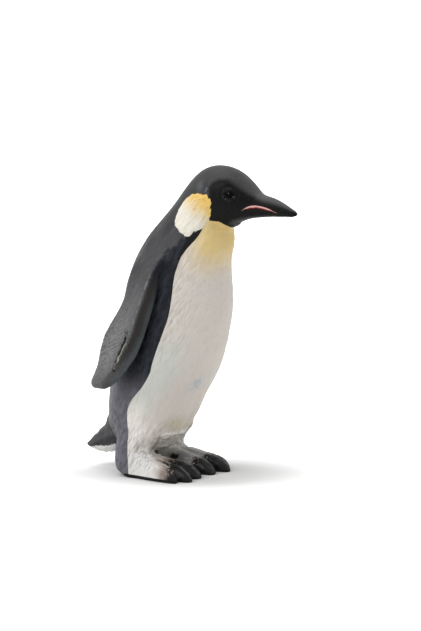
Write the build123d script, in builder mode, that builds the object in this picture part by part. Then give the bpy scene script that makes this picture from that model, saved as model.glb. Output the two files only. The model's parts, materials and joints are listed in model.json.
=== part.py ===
from build123d import *

# A standing penguin figurine, moulded in separate pieces that are glued at pegs and sockets.
# The bird looks along +X, its right side is -Y, and it stands on the plane Z = 0.

import os
from math import cos, radians, sin
from typing import NamedTuple

# Stance
LEG_SPACING = 15.0
BELLY_CLEARANCE = 8.0
SHOULDER_HEIGHT = 64.5
NECK_BASE_DROP = 9.5
BODY_DEPTH = 30.0
BODY_WIDTH = 28.6
BODY_LEAN = 9.7

# Neck and head
NECK_REACH = 17.2
NECK_RISE = 22.4
NECK_DEPTH = 19.4
NECK_WIDTH = 18.4
HEAD_HEIGHT = 15.0
HEAD_WIDTH = 14.4
FACE_LENGTH = 8.2
FACE_DROP = 1.75
BILL_LENGTH = 11.8
BILL_DROP = 1.5
BILL_DEPTH = 6.9
BILL_WIDTH = 7.0

# Legs and feet
LEG_DEPTH = 10.0
LEG_WIDTH = 10.0
THIGH_HEIGHT = 20.0
SOLE_THICKNESS = 0.9
FOOT_REACH = 19.2
FOOT_WIDTH = 11.4
INSTEP_HEIGHT = 6.1
TOE_WIDTH = 4.3

# Tail
TAIL_REACH = 18.6
TAIL_HEIGHT = 12.6
TAIL_WIDTH = 11.0
TAIL_CLEARANCE = 4.5

# Flippers
FLIPPER_DROP = 40.0
FLIPPER_SWEEP = 16.3
FLIPPER_CHORD = 11.4
FLIPPER_THICKNESS = 3.3
FLIPPER_SPLAY = 6.6

# Eyes
EYE_DIAMETER = 2.4
EYE_DOME = 0.45
EYE_SHANK_LENGTH = 1.6

# Glued seats
GLUE_FILM = 0.1
SHELL_WALL = 4.0
NECK_SPIGOT_DIAMETER = 8.0
NECK_SPIGOT_LENGTH = 7.0
SHOULDER_PEG_DIAMETER = 4.0
SHOULDER_PEG_LENGTH = 6.0
ANKLE_PEG_DIAMETER = 4.0
ANKLE_PEG_LENGTH = 7.0
TAIL_TENON_WIDTH = 5.0
TAIL_TENON_HEIGHT = 4.0
TAIL_TENON_LENGTH = 5.0
CUT_OVERRUN = 5.0


class Torso(NamedTuple):
    """One level cut through the torso, as shares of its sizes, and whether the core is cut there too."""

    height_share: float
    lean_share: float
    depth_share: float
    width_share: float
    parting_share: float | None
    shapes_core: bool


class Neck(NamedTuple):
    """One slanted cut through the neck or the back of the head, as shares of their sizes."""

    reach_share: float
    rise_share: float
    tilt: float
    front_share: float
    back_share: float
    width_share: float
    parting_share: float


class Snout(NamedTuple):
    """One upright cut through the face or the bill, as shares of their sizes."""

    reach_share: float
    drop_share: float
    depth_share: float
    width_share: float


class Blade(NamedTuple):
    """One level cut through a flipper, as shares of the flipper's sizes."""

    drop_share: float
    sweep_share: float
    chord_share: float
    thickness_share: float
    splay_share: float
    twist_share: float


class Toe(NamedTuple):
    """Where one toe starts and ends across the foot, and how far forward it reaches."""

    root_share: float
    tip_share: float
    reach_share: float
    width_share: float


# From the underside of the belly up to the base of the neck
TORSO_SHARES = (
    Torso(0.00, 0.01, 0.43, 0.60, None, False),
    Torso(0.05, 0.02, 0.60, 0.78, None, False),
    Torso(0.16, 0.09, 0.75, 0.85, None, True),
    Torso(0.26, 0.22, 0.83, 0.88, 0.00, False),
    Torso(0.44, 0.53, 0.96, 0.965, 0.18, True),
    Torso(0.62, 0.745, 1.00, 1.00, 0.26, False),
    Torso(0.81, 0.93, 0.985, 0.985, 0.36, True),
    Torso(1.00, 1.04, 0.90, 0.91, 0.38, True),
)

# Base of the neck, in shares of the torso's depth and width
SHOULDER_SHARES = Neck(0.14, 0.335, 78.0, 0.83, 0.71, 0.77, 0.44)

# From the neck round to the middle of the head, fanned about the throat
NAPE_SHARES = (
    Neck(0.385, 0.594, 64.0, 0.50, 0.475, 1.00, 0.50),
    Neck(0.587, 0.8125, 46.0, 0.335, 0.46, 0.88, 0.50),
)
CROWN_SHARES = (
    Neck(0.775, 0.964, 26.0, 0.56, 0.59, 1.055, 0.50),
    Neck(0.99, 1.0, 8.0, 0.515, 0.50, 1.00, 0.50),
)

# The face, from the middle of the head to the root of the bill
FACE_SHARES = (
    Snout(0.38, 0.38, 0.79, 0.86),
    Snout(0.72, 0.69, 0.59, 0.64),
)

# The bill, from its root to its tip
BILL_SHARES = (
    Snout(0.0, 0.06, 0.97, 1.00),
    Snout(0.30, 0.19, 0.77, 0.77),
    Snout(0.68, 0.58, 0.48, 0.51),
    Snout(0.91, 0.86, 0.23, 0.25),
    Snout(1.0, 1.0, 0.09, 0.10),
)

# From the shoulder, hidden in the body, down to the tip
BLADE_SHARES = (
    Blade(0.00, 0.00, 0.75, 0.55, -0.50, -0.80),
    Blade(0.11, 0.03, 0.93, 0.80, 0.14, -1.00),
    Blade(0.30, 0.11, 0.87, 0.95, 0.60, -0.48),
    Blade(0.42, 0.17, 0.85, 0.97, 0.72, -0.18),
    Blade(0.61, 0.31, 1.00, 1.00, 0.82, 0.05),
    Blade(0.81, 0.53, 0.83, 0.92, 0.92, 0.28),
    Blade(0.95, 0.80, 0.64, 0.72, 0.98, 0.30),
    Blade(1.00, 0.97, 0.34, 0.34, 1.08, 0.16),
)

# Round a flipper's cut from the inner leading corner: along the chord, and out from the body
BLADE_OUTLINE_SHARES = (
    (0.00, 0.10),
    (0.05, 0.60),
    (0.24, 1.00),
    (0.60, 0.78),
    (0.97, 0.38),
    (0.97, 0.06),
    (0.50, -0.02),
    (0.12, -0.06),
)
SHOULDER_FORWARD_SHARE = 0.115
SHOULDER_OUT_SHARE = 0.71
PEG_BACK_SHARE = 0.45
PEG_DROP_SHARE = 0.19
PEG_ROOT_SHARE = 0.12

# Tail cuts from its root to its tip: reach, rise of the top edge, rise of the underside, width
TAIL_SHARES = (
    (0.40, 0.97, 0.02, 0.97),
    (0.56, 0.80, 0.00, 1.04),
    (0.78, 0.44, 0.00, 1.00),
    (0.95, 0.20, 0.03, 0.82),
    (1.00, 0.12, 0.05, 0.60),
)

# Leg cuts from the sole up into the belly: height, depth, width, drift forward, drift inward
LEG_SHARES = (
    (0.00, 1.04, 0.96, 0.00, 0.00),
    (0.18, 1.10, 1.04, 0.00, 0.00),
    (0.36, 1.06, 1.00, 0.03, 0.00),
    (0.54, 1.42, 1.04, 0.18, 0.06),
    (0.76, 1.40, 0.98, 0.18, 0.16),
    (1.00, 1.38, 0.92, 0.18, 0.26),
)

# Toes of the right foot, inner to outer, across the foot's width
TOE_SHARES = (
    Toe(-0.18, -0.35, 0.95, 1.25),
    Toe(0.06, 0.17, 1.00, 1.00),
    Toe(0.26, 0.47, 0.88, 0.86),
)

# Along a toe from its root to its nail: reach, height, width
TOE_PROFILE_SHARES = (
    (0.20, 0.90, 0.86),
    (0.45, 0.87, 1.00),
    (0.68, 0.74, 1.00),
    (0.86, 0.54, 0.86),
    (0.96, 0.31, 0.60),
    (1.00, 0.18, 0.34),
)

# The ball of the foot, as part of the sole
BALL_REACH_SHARE = 0.52
BALL_LENGTH_SHARE = 0.24
BALL_WIDTH_SHARE = 0.46

# How far round its own middle a toe is cut flat by the sole
TOE_SINK_SHARE = 0.36

# The eye's place, ahead of and above the middle of the head
EYE_FORWARD_SHARE = 0.27
EYE_RISE_SHARE = 0.12

# Flat sides of the core
CORE_FLAT_SHARE = 0.45

# The upright parting through the legs, and the height at which the curved parting takes over
LEG_PARTING_SHARE = 0.16
LEG_LINE_SHARE = 0.15

# The tail's tenon
TENON_RISE_SHARE = 0.42
TENON_ROOT_SHARE = 0.30
TENON_ROUND_SHARE = 0.25

# The head's seam, below the nape's last cut
HEAD_SEAM_TILT = 52.0
HEAD_SEAM_DROP_SHARE = 0.07

# Fullness of the round cuts: 0.707 is an ellipse
ROUND_SHARE = 0.72

# Places that follow from the sizes above
front_reach = BODY_LEAN + NECK_REACH + FACE_LENGTH + BILL_LENGTH
leg_x = (TAIL_REACH - front_reach) / 2
leg_y = LEG_SPACING / 2
neck_x = leg_x + BODY_LEAN
neck_z = SHOULDER_HEIGHT - NECK_BASE_DROP
torso_height = neck_z - BELLY_CLEARANCE
head_x = neck_x + NECK_REACH
head_z = neck_z + NECK_RISE
bill_x = head_x + FACE_LENGTH
bill_z = head_z - FACE_DROP
eye_x = head_x + FACE_LENGTH * EYE_FORWARD_SHARE
eye_z = head_z + HEAD_HEIGHT * EYE_RISE_SHARE
shoulder_x = neck_x + BODY_DEPTH * SHOULDER_FORWARD_SHARE
shoulder_y = BODY_WIDTH / 2 * SHOULDER_OUT_SHARE
shoulder_peg_x = shoulder_x - FLIPPER_CHORD * PEG_BACK_SHARE
shoulder_peg_z = SHOULDER_HEIGHT - FLIPPER_DROP * PEG_DROP_SHARE
tenon_z = TAIL_CLEARANCE + TAIL_HEIGHT * TENON_RISE_SHARE


def fan_plane(x, z, tilt, y=0):
    """A cutting plane square to a spine that rises at the given angle, front along its X axis."""
    angle = radians(tilt)
    return Plane(
        origin=(x, y, z),
        x_dir=(sin(angle), 0, -cos(angle)),
        z_dir=(cos(angle), 0, sin(angle)),
    )


def egg(plane, front, back, half_width):
    """A smooth closed cut with its own reach to the front, to the back and to each side."""
    with BuildSketch(plane) as cut:
        with BuildLine():
            Spline(
                (-back, 0),
                (-back * ROUND_SHARE, -half_width * ROUND_SHARE),
                (0, -half_width),
                (front * ROUND_SHARE, -half_width * ROUND_SHARE),
                (front, 0),
                (front * ROUND_SHARE, half_width * ROUND_SHARE),
                (0, half_width),
                (-back * ROUND_SHARE, half_width * ROUND_SHARE),
                periodic=True,
            )
        make_face()
    return cut.sketch


def torso_plane(cut):
    """The level plane of one torso cut."""
    return fan_plane(
        leg_x + BODY_LEAN * cut.lean_share,
        BELLY_CLEARANCE + torso_height * cut.height_share,
        90.0,
    )


def neck_plane(cut):
    """The slanted plane of one neck cut."""
    return fan_plane(
        neck_x + NECK_REACH * cut.reach_share,
        neck_z + NECK_RISE * cut.rise_share,
        cut.tilt,
    )


def torso_cuts():
    """The torso's level cuts, bottom to top."""
    return [
        egg(
            torso_plane(cut),
            BODY_DEPTH / 2 * cut.depth_share,
            BODY_DEPTH / 2 * cut.depth_share,
            BODY_WIDTH / 2 * cut.width_share,
        )
        for cut in TORSO_SHARES
    ]


def neck_cuts():
    """The slanted cuts from the base of the neck to the middle of the head."""
    sizes = [(SHOULDER_SHARES, BODY_DEPTH / 2, BODY_WIDTH / 2)]
    sizes += [(cut, NECK_DEPTH, NECK_WIDTH / 2) for cut in NAPE_SHARES]
    sizes += [(cut, HEAD_HEIGHT, HEAD_WIDTH / 2) for cut in CROWN_SHARES]
    return [
        egg(
            neck_plane(cut),
            depth * cut.front_share,
            depth * cut.back_share,
            half_width * cut.width_share,
        )
        for cut, depth, half_width in sizes
    ]


def snout_cuts():
    """The upright cuts through the face and the bill."""
    cuts = []
    for cut in FACE_SHARES:
        plane = fan_plane(
            head_x + FACE_LENGTH * cut.reach_share,
            head_z - FACE_DROP * cut.drop_share,
            0,
        )
        half_height = HEAD_HEIGHT / 2 * cut.depth_share
        cuts.append(egg(plane, half_height, half_height, HEAD_WIDTH / 2 * cut.width_share))
    for cut in BILL_SHARES:
        plane = fan_plane(
            bill_x + BILL_LENGTH * cut.reach_share,
            bill_z - BILL_DROP * cut.drop_share,
            0,
        )
        half_height = BILL_DEPTH / 2 * cut.depth_share
        cuts.append(egg(plane, half_height, half_height, BILL_WIDTH / 2 * cut.width_share))
    return cuts


def leg_cuts():
    """The level cuts of the right leg, from the sole up into the belly."""
    cuts = []
    for height_share, depth_share, width_share, forward_share, inward_share in LEG_SHARES:
        plane = fan_plane(
            leg_x + LEG_DEPTH * forward_share,
            SOLE_THICKNESS + THIGH_HEIGHT * height_share,
            90.0,
            -leg_y + LEG_SPACING * inward_share,
        )
        half_depth = LEG_DEPTH / 2 * depth_share
        cuts.append(egg(plane, half_depth, half_depth, LEG_WIDTH / 2 * width_share))
    return cuts


def core_cuts(spare):
    """Flat-sided cuts of the block inside the torso, grown all round by the spare room."""
    cuts = []
    for cut in TORSO_SHARES:
        if not cut.shapes_core:
            continue
        half_depth = BODY_DEPTH / 2 * cut.depth_share - SHELL_WALL + spare
        half_width = BODY_WIDTH / 2 * cut.width_share - SHELL_WALL + spare
        with BuildSketch(torso_plane(cut)) as section:
            with BuildLine():
                Polyline(
                    (half_depth, half_width * CORE_FLAT_SHARE),
                    (half_depth * CORE_FLAT_SHARE, half_width),
                    (-half_depth * CORE_FLAT_SHARE, half_width),
                    (-half_depth, half_width * CORE_FLAT_SHARE),
                    (-half_depth, -half_width * CORE_FLAT_SHARE),
                    (-half_depth * CORE_FLAT_SHARE, -half_width),
                    (half_depth * CORE_FLAT_SHARE, -half_width),
                    (half_depth, -half_width * CORE_FLAT_SHARE),
                    close=True,
                )
            make_face()
        cuts.append(section.sketch)
    return cuts


def blade_cuts():
    """The level cuts of the right flipper, from the shoulder to the tip."""
    cuts = []
    for cut in BLADE_SHARES:
        chord = FLIPPER_CHORD * cut.chord_share
        thickness = FLIPPER_THICKNESS * cut.thickness_share
        twist = FLIPPER_THICKNESS * cut.twist_share
        plane = Plane(
            origin=(
                shoulder_x - FLIPPER_SWEEP * cut.sweep_share,
                -shoulder_y - FLIPPER_SPLAY * cut.splay_share,
                SHOULDER_HEIGHT - FLIPPER_DROP * cut.drop_share,
            ),
            x_dir=(-1, 0, 0),
            z_dir=(0, 0, 1),
        )
        with BuildSketch(plane) as section:
            with BuildLine():
                Spline(
                    *[
                        (chord * along_share, thickness * out_share + twist * along_share)
                        for along_share, out_share in BLADE_OUTLINE_SHARES
                    ],
                    periodic=True,
                )
            make_face()
        cuts.append(section.sketch)
    return cuts


def tail_cuts():
    """The upright cuts of the tail, from its root to its tip."""
    cuts = []
    for reach_share, top_share, under_share, width_share in TAIL_SHARES:
        half_height = TAIL_HEIGHT * (top_share - under_share) / 2
        middle = TAIL_CLEARANCE + TAIL_HEIGHT * under_share + half_height
        plane = fan_plane(leg_x - TAIL_REACH * reach_share, middle, 0)
        cuts.append(egg(plane, half_height, half_height, TAIL_WIDTH / 2 * width_share))
    return cuts


def toe_cuts(toe):
    """The upright cuts of one toe of the right foot, from the instep to its nail."""
    cuts = []
    for reach_share, height_share, width_share in TOE_PROFILE_SHARES:
        height = INSTEP_HEIGHT * height_share
        across_share = toe.root_share + (toe.tip_share - toe.root_share) * reach_share
        plane = fan_plane(
            leg_x + FOOT_REACH * toe.reach_share * reach_share,
            height * TOE_SINK_SHARE,
            0,
            -leg_y - FOOT_WIDTH * across_share,
        )
        up = height * (1 - TOE_SINK_SHARE)
        cuts.append(egg(plane, up, up, TOE_WIDTH / 2 * toe.width_share * width_share))
    return cuts


def skin_point(form, start, direction):
    """Where a line from inside a form leaves it, and the outward normal there."""
    line = Axis(start, direction)
    hits = [hit for face in form.faces() for hit in face.find_intersection_points(line)]
    point, normal = max(hits, key=lambda hit: (hit[0] - Vector(*start)).dot(Vector(*direction)))
    return point, normal


# The whole bird as one smooth form, before it is cut into its mouldings
with BuildPart() as bird_form:
    loft(torso_cuts() + neck_cuts() + snout_cuts())

with BuildPart() as leg_form:
    loft(leg_cuts())
    mirror(about=Plane.XZ)

# The seam under the head, square to the neck
nape_plane = neck_plane(NAPE_SHARES[-1])
seam_angle = radians(HEAD_SEAM_TILT)
seam_drop = NECK_DEPTH * HEAD_SEAM_DROP_SHARE
head_seam = fan_plane(
    nape_plane.origin.X - seam_drop * cos(seam_angle),
    nape_plane.origin.Z - seam_drop * sin(seam_angle),
    HEAD_SEAM_TILT,
)

with BuildPart() as body_form:
    add(bird_form.part)
    split(bisect_by=head_seam, keep=Keep.BOTTOM)
    add(leg_form.part)

# The parting between the white front shell and the dark back shell, in side view
leg_parting_x = leg_x + LEG_DEPTH / 2 * LEG_PARTING_SHARE
parting_marks = [
    (torso_plane(cut), BODY_DEPTH / 2 * cut.depth_share * cut.parting_share)
    for cut in TORSO_SHARES
    if cut.parting_share is not None
]
for cut, depth in [(SHOULDER_SHARES, BODY_DEPTH / 2)] + [(cut, NECK_DEPTH) for cut in NAPE_SHARES]:
    parting_marks.append((neck_plane(cut), depth * cut.front_share * cut.parting_share))
parting_points = [plane.from_local_coords((forward, 0)) for plane, forward in parting_marks]
leg_top = (leg_parting_x, BELLY_CLEARANCE + torso_height * LEG_LINE_SHARE)
line_foot = (leg_parting_x, -CUT_OVERRUN)
front_x = leg_x + front_reach + CUT_OVERRUN

with BuildPart() as front_block:
    with BuildSketch(Plane.XZ):
        with BuildLine():
            Line(line_foot, leg_top)
            parting = Spline([leg_top] + [(point.X, point.Z) for point in parting_points])
            Polyline(parting @ 1, (front_x, (parting @ 1).Y), (front_x, -CUT_OVERRUN), line_foot)
        make_face()
    extrude(amount=BODY_WIDTH, both=True)

# Seats: shoulder pegs and tail tenon start on the skin of the torso
shoulder_skin, _ = skin_point(bird_form.part, (shoulder_peg_x, 0, shoulder_peg_z), (0, -1, 0))
rump_skin, _ = skin_point(bird_form.part, (leg_x, 0, tenon_z), (-1, 0, 0))
peg_inner_y = shoulder_skin.Y + SHOULDER_PEG_LENGTH
shoulder_plane = Plane(origin=(shoulder_peg_x, peg_inner_y, shoulder_peg_z), z_dir=(0, -1, 0))
tenon_plane = Plane(origin=(rump_skin.X + TAIL_TENON_LENGTH, 0, tenon_z), x_dir=(0, 1, 0), z_dir=(-1, 0, 0))
ankle_plane = Plane(origin=(leg_x, -leg_y, SOLE_THICKNESS), z_dir=(0, 0, 1))

# Room for the pegs and the tenon, with a film of glue all round
with BuildPart() as sockets:
    with BuildSketch(head_seam):
        Circle(NECK_SPIGOT_DIAMETER / 2 + GLUE_FILM)
    extrude(amount=-NECK_SPIGOT_LENGTH - GLUE_FILM)
    with BuildSketch(shoulder_plane.offset(-GLUE_FILM)):
        Circle(SHOULDER_PEG_DIAMETER / 2 + GLUE_FILM)
    extrude(amount=SHOULDER_PEG_LENGTH + CUT_OVERRUN)
    with BuildSketch(ankle_plane):
        Circle(ANKLE_PEG_DIAMETER / 2 + GLUE_FILM)
    extrude(amount=ANKLE_PEG_LENGTH + GLUE_FILM)
    mirror(about=Plane.XZ)
    with BuildSketch(tenon_plane.offset(-GLUE_FILM)):
        RectangleRounded(
            TAIL_TENON_WIDTH + 2 * GLUE_FILM,
            TAIL_TENON_HEIGHT + 2 * GLUE_FILM,
            TAIL_TENON_HEIGHT * TENON_ROUND_SHARE,
        )
    extrude(amount=TAIL_TENON_LENGTH + CUT_OVERRUN)

with BuildPart() as core_room:
    loft(core_cuts(GLUE_FILM), ruled=True)

# Body: two shells round a plain core
with BuildPart() as body_core:
    loft(core_cuts(0), ruled=True)
    add(sockets.part, mode=Mode.SUBTRACT)

with BuildPart() as body_front:
    add(body_form.part)
    add(front_block.part, mode=Mode.INTERSECT)
    add(core_room.part, mode=Mode.SUBTRACT)
    add(sockets.part, mode=Mode.SUBTRACT)

with BuildPart() as body_back:
    add(body_form.part)
    add(front_block.part, mode=Mode.SUBTRACT)
    add(core_room.part, mode=Mode.SUBTRACT)
    add(sockets.part, mode=Mode.SUBTRACT)

# Eyes: domed beads with a short shank, pressed square into the sides of the head
eye_skin, eye_normal = skin_point(bird_form.part, (eye_x, 0, eye_z), (0, -1, 0))
eye_seat = Plane(origin=eye_skin - eye_normal * EYE_SHANK_LENGTH, z_dir=eye_normal)
eye_profile = Plane(origin=eye_skin, x_dir=eye_seat.x_dir, z_dir=-eye_seat.y_dir)

with BuildPart() as right_eye:
    with BuildSketch(eye_profile):
        with BuildLine():
            Polyline(
                (0, EYE_DOME),
                (0, -EYE_SHANK_LENGTH),
                (EYE_DIAMETER / 2, -EYE_SHANK_LENGTH),
                (EYE_DIAMETER / 2, 0),
            )
            TangentArc((0, EYE_DOME), (EYE_DIAMETER / 2, 0), tangent=(1, 0))
        make_face()
    revolve(axis=Axis(eye_skin, eye_normal))

with BuildPart() as left_eye:
    mirror(right_eye.part, about=Plane.XZ)

with BuildPart() as eye_bores:
    with BuildSketch(eye_seat.offset(-GLUE_FILM)):
        Circle(EYE_DIAMETER / 2 + GLUE_FILM)
    extrude(amount=EYE_SHANK_LENGTH + CUT_OVERRUN)
    mirror(about=Plane.XZ)

# Head, with the spigot that the body shells close on
with BuildPart() as head:
    add(bird_form.part)
    split(bisect_by=head_seam, keep=Keep.TOP)
    with BuildSketch(head_seam):
        Circle(NECK_SPIGOT_DIAMETER / 2)
    extrude(amount=-NECK_SPIGOT_LENGTH)
    add(eye_bores.part, mode=Mode.SUBTRACT)

# Flippers, trimmed to the skin of the shoulder they lie on
with BuildPart() as blade_form:
    loft(blade_cuts())

with BuildPart() as shoulder_peg:
    with BuildSketch(shoulder_plane):
        Circle(SHOULDER_PEG_DIAMETER / 2)
    extrude(amount=SHOULDER_PEG_LENGTH + FLIPPER_THICKNESS * PEG_ROOT_SHARE)

with BuildPart() as right_flipper:
    add(blade_form.part)
    add(bird_form.part, mode=Mode.SUBTRACT)
    add(shoulder_peg.part)

with BuildPart() as left_flipper:
    mirror(blade_form.part, about=Plane.XZ)
    add(bird_form.part, mode=Mode.SUBTRACT)
    mirror(shoulder_peg.part, about=Plane.XZ)

# Tail, trimmed to the rump
with BuildPart() as tail:
    loft(tail_cuts())
    add(body_form.part, mode=Mode.SUBTRACT)
    with BuildSketch(tenon_plane):
        RectangleRounded(TAIL_TENON_WIDTH, TAIL_TENON_HEIGHT, TAIL_TENON_HEIGHT * TENON_ROUND_SHARE)
    extrude(amount=TAIL_TENON_LENGTH + TAIL_TENON_HEIGHT * TENON_ROOT_SHARE)

# Feet: a sole under the whole leg, with an instep and three toes in front of it
with BuildPart() as foot_form:
    for toe in TOE_SHARES:
        loft(toe_cuts(toe))
    with BuildSketch(Plane.XY):
        with Locations((leg_x, -leg_y)):
            Ellipse(LEG_DEPTH / 2 * LEG_SHARES[0][1], LEG_WIDTH / 2 * LEG_SHARES[0][2])
        with Locations((leg_x + FOOT_REACH * BALL_REACH_SHARE, -leg_y)):
            Ellipse(FOOT_REACH * BALL_LENGTH_SHARE, FOOT_WIDTH * BALL_WIDTH_SHARE)
        make_hull()
    extrude(amount=SOLE_THICKNESS)
    split(bisect_by=Plane.XY, keep=Keep.TOP)

with BuildPart() as ankle_peg:
    with BuildSketch(ankle_plane):
        Circle(ANKLE_PEG_DIAMETER / 2)
    extrude(amount=ANKLE_PEG_LENGTH)

with BuildPart() as right_foot:
    add(foot_form.part)
    add(leg_form.part, mode=Mode.SUBTRACT)
    add(ankle_peg.part)

with BuildPart() as left_foot:
    mirror(foot_form.part, about=Plane.XZ)
    add(leg_form.part, mode=Mode.SUBTRACT)
    mirror(ankle_peg.part, about=Plane.XZ)

nodes = {
    "head": head,
    "right_eye": right_eye,
    "left_eye": left_eye,
    "body_front": body_front,
    "body_back": body_back,
    "body_core": body_core,
    "right_flipper": right_flipper,
    "left_flipper": left_flipper,
    "right_foot": right_foot,
    "left_foot": left_foot,
    "tail": tail,
}
os.makedirs("parts", exist_ok=True)
for name, piece in nodes.items():
    piece.part.label = name
    export_step(piece.part, f"parts/{name}.step")
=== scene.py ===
import json
import logging
import math
from dataclasses import dataclass
from enum import Enum
from typing import Any, Iterable, Sequence

import bpy
import numpy as np
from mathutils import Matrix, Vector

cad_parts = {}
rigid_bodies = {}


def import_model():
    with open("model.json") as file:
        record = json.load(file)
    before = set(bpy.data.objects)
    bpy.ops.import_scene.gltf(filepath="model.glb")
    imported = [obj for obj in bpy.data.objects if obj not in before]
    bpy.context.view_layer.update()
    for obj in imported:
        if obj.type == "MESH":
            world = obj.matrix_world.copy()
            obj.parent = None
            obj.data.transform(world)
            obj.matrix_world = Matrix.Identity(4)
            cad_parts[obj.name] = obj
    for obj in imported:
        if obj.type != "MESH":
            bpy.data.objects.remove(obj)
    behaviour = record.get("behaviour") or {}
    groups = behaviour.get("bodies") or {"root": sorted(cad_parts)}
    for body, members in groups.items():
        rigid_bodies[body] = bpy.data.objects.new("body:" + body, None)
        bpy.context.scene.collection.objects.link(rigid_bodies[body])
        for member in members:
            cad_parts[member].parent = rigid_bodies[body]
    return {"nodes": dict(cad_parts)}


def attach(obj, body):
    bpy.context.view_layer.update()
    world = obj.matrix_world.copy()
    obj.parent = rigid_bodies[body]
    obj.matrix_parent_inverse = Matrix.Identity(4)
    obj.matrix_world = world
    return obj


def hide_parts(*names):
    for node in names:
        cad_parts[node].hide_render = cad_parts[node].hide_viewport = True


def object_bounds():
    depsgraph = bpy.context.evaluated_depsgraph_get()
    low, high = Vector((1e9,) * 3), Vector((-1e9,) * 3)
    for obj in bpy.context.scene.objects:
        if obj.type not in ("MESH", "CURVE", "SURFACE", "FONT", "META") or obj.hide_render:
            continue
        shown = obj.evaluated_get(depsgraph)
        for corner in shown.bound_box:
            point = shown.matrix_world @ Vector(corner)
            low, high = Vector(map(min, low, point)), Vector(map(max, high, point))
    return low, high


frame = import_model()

# A moulded, hand-painted penguin figurine. The bird looks along +X, its right side is -Y.
# Sizes and places are in millimetres, and become metres where a mesh is written.

log = logging.getLogger("penguin")
MM = 0.001
CAD_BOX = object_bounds()

# The photograph's viewing angle in degrees: round from the bird's right side, and down
VIEW_TURN = 33.0
VIEW_RISE = 10.0

MERGE_GAP = 0.001
SMOOTH_ANGLE = 50.0
PAT_SEGMENTS = 48
PAT_RINGS = 24

Point = tuple[float, float, float]
Spot = tuple[float, float]
Span = tuple[Spot, Spot]


class Side(Enum):
    """The bird's two sides, as the sign of their Y."""

    RIGHT = -1
    LEFT = 1

    def node(self, name: str) -> str:
        """Name the CAD node of this side."""
        return f"{self.name.lower()}_{name}"


class Paint(Enum):
    """The paints on the bench, as red, green and blue from 0 to 255. Some are painted highlights and
    painted shade.
    """

    WARM_WHITE = (223, 215, 206)
    COLD_WHITE = (214, 214, 212)
    COOL_WHITE = (210, 213, 206)
    # Painted highlight white, for the lit side of the legs, the crests of the folds and the belly lip
    HIGHLIGHT_WHITE = (250, 246, 240)
    LEG_GREY = (162, 159, 154)
    BOOT_WHITE = (238, 238, 238)
    GREY_WASH = (170, 162, 152)
    # Painted shade in the recess between the legs
    RECESS_SHADE_GREY = (180, 180, 170)
    # Painted shade in the groove under the belly lip and in the folds of the legs
    FOLD_SHADE_BROWN = (104, 92, 82)
    STRAW = (222, 205, 150)
    THROAT_YELLOW = (234, 207, 139)
    EAR_YELLOW = (240, 202, 116)
    EAR_CREAM = (240, 235, 222)
    EAR_OCHRE = (208, 158, 66)
    CHARCOAL = (59, 59, 61)
    CROWN_GREY = (70, 70, 71)
    DRY_GREY = (112, 112, 114)
    # Painted highlight on the flipper's outer face
    FLIPPER_HIGHLIGHT_GREY = (142, 142, 143)
    # Navy black of the flanks, partly painted shade; also painted shade on the flipper's top
    NAVY_BLACK = (17, 19, 28)
    SLATE_BLUE = (44, 53, 61)
    # Painted highlight on the rim of the flipper's leading face
    RIM_HIGHLIGHT_BLUE = (88, 97, 102)
    # Near black of the flipper's leading face: partly its paint, partly painted shade
    EDGE_BLACK = (40, 38, 36)
    FACE_BLACK = (13, 14, 13)
    FACE_GREY = (44, 45, 44)
    MOUTH_PINK = (232, 176, 172)
    LIP_RED = (110, 36, 34)
    NICK_BLUE = (150, 168, 186)
    PATCH_BLUE = (172, 185, 196)
    FLASH_GREY = (158, 153, 141)
    # Light grey: painted highlights on the flipper's wrinkles and ridge, light scuffs, and the far foot's
    # shaded instep
    CREST_GREY = (140, 140, 141)
    LILAC_GREY = (116, 114, 123)
    # Painted sheen on the bill's top, and painted glints on the lower lids
    BILL_SHEEN = (86, 86, 87)
    SILVER = (240, 240, 238)
    # Black of the toes and sole, also used as the painted shadow between the feet
    TOE_BLACK = (13, 13, 13)
    SKIN_BROWN = (110, 98, 90)
    SKIN_PINK = (202, 186, 176)
    BEAD_BLACK = (6, 6, 7)
    REGRIND = (120, 120, 122)

    @property
    def linear(self) -> tuple[float, float, float, float]:
        """Give the paint as the linear colour that a shader takes."""
        parts = [part / 255 for part in self.value]
        curve = [part / 12.92 if part < 0.04045 else ((part + 0.055) / 1.055) ** 2.4 for part in parts]
        return (*curve, 1.0)


@dataclass(frozen=True)
class Dab:
    """A soft-edged place on the bird."""

    middle: Point
    spread: Point


@dataclass(frozen=True)
class Lump:
    """A swelling of the clay, or with a negative height a dent."""

    middle: Point
    radius: float
    height: float


@dataclass(frozen=True)
class Speckle:
    """A kind of noise in paint: its grain along the object's axes, its finer layers and its lean."""

    size: Point
    layers: float = 2.0
    lean: float = 0.0


# Hand tools: selecting, copying and modifying as in the program's own window


def pick(piece: bpy.types.Object) -> None:
    """Deselect everything, then select one piece and make it active."""
    bpy.ops.object.select_all(action="DESELECT")
    piece.select_set(True)
    bpy.context.view_layer.objects.active = piece


def apply_modifier(piece: bpy.types.Object, kind: str, **settings: Any) -> None:
    """Add one modifier to a piece, set it and apply it.

    Args:
        piece: The piece that is changed.
        kind: The modifier's type.
        **settings: Its settings by name.
    """
    pick(piece)
    bpy.ops.object.modifier_add(type=kind)
    modifier = piece.modifiers[-1]
    for key, value in settings.items():
        setattr(modifier, key, value)
    bpy.ops.object.modifier_apply(modifier=modifier.name)


def pat_of_clay(dab: Dab) -> bpy.types.Object:
    """Roll an egg-shaped pat of clay.

    Args:
        dab: Where it lies, and half its size along each axis.

    Returns:
        The pat.
    """
    bpy.ops.object.select_all(action="DESELECT")
    bpy.ops.mesh.primitive_uv_sphere_add(segments=PAT_SEGMENTS, ring_count=PAT_RINGS, radius=MM)
    pat = bpy.context.active_object
    pat.location = [at * MM for at in dab.middle]
    pat.scale = dab.spread
    bpy.ops.object.transform_apply(location=True, rotation=True, scale=True)
    return pat


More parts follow.
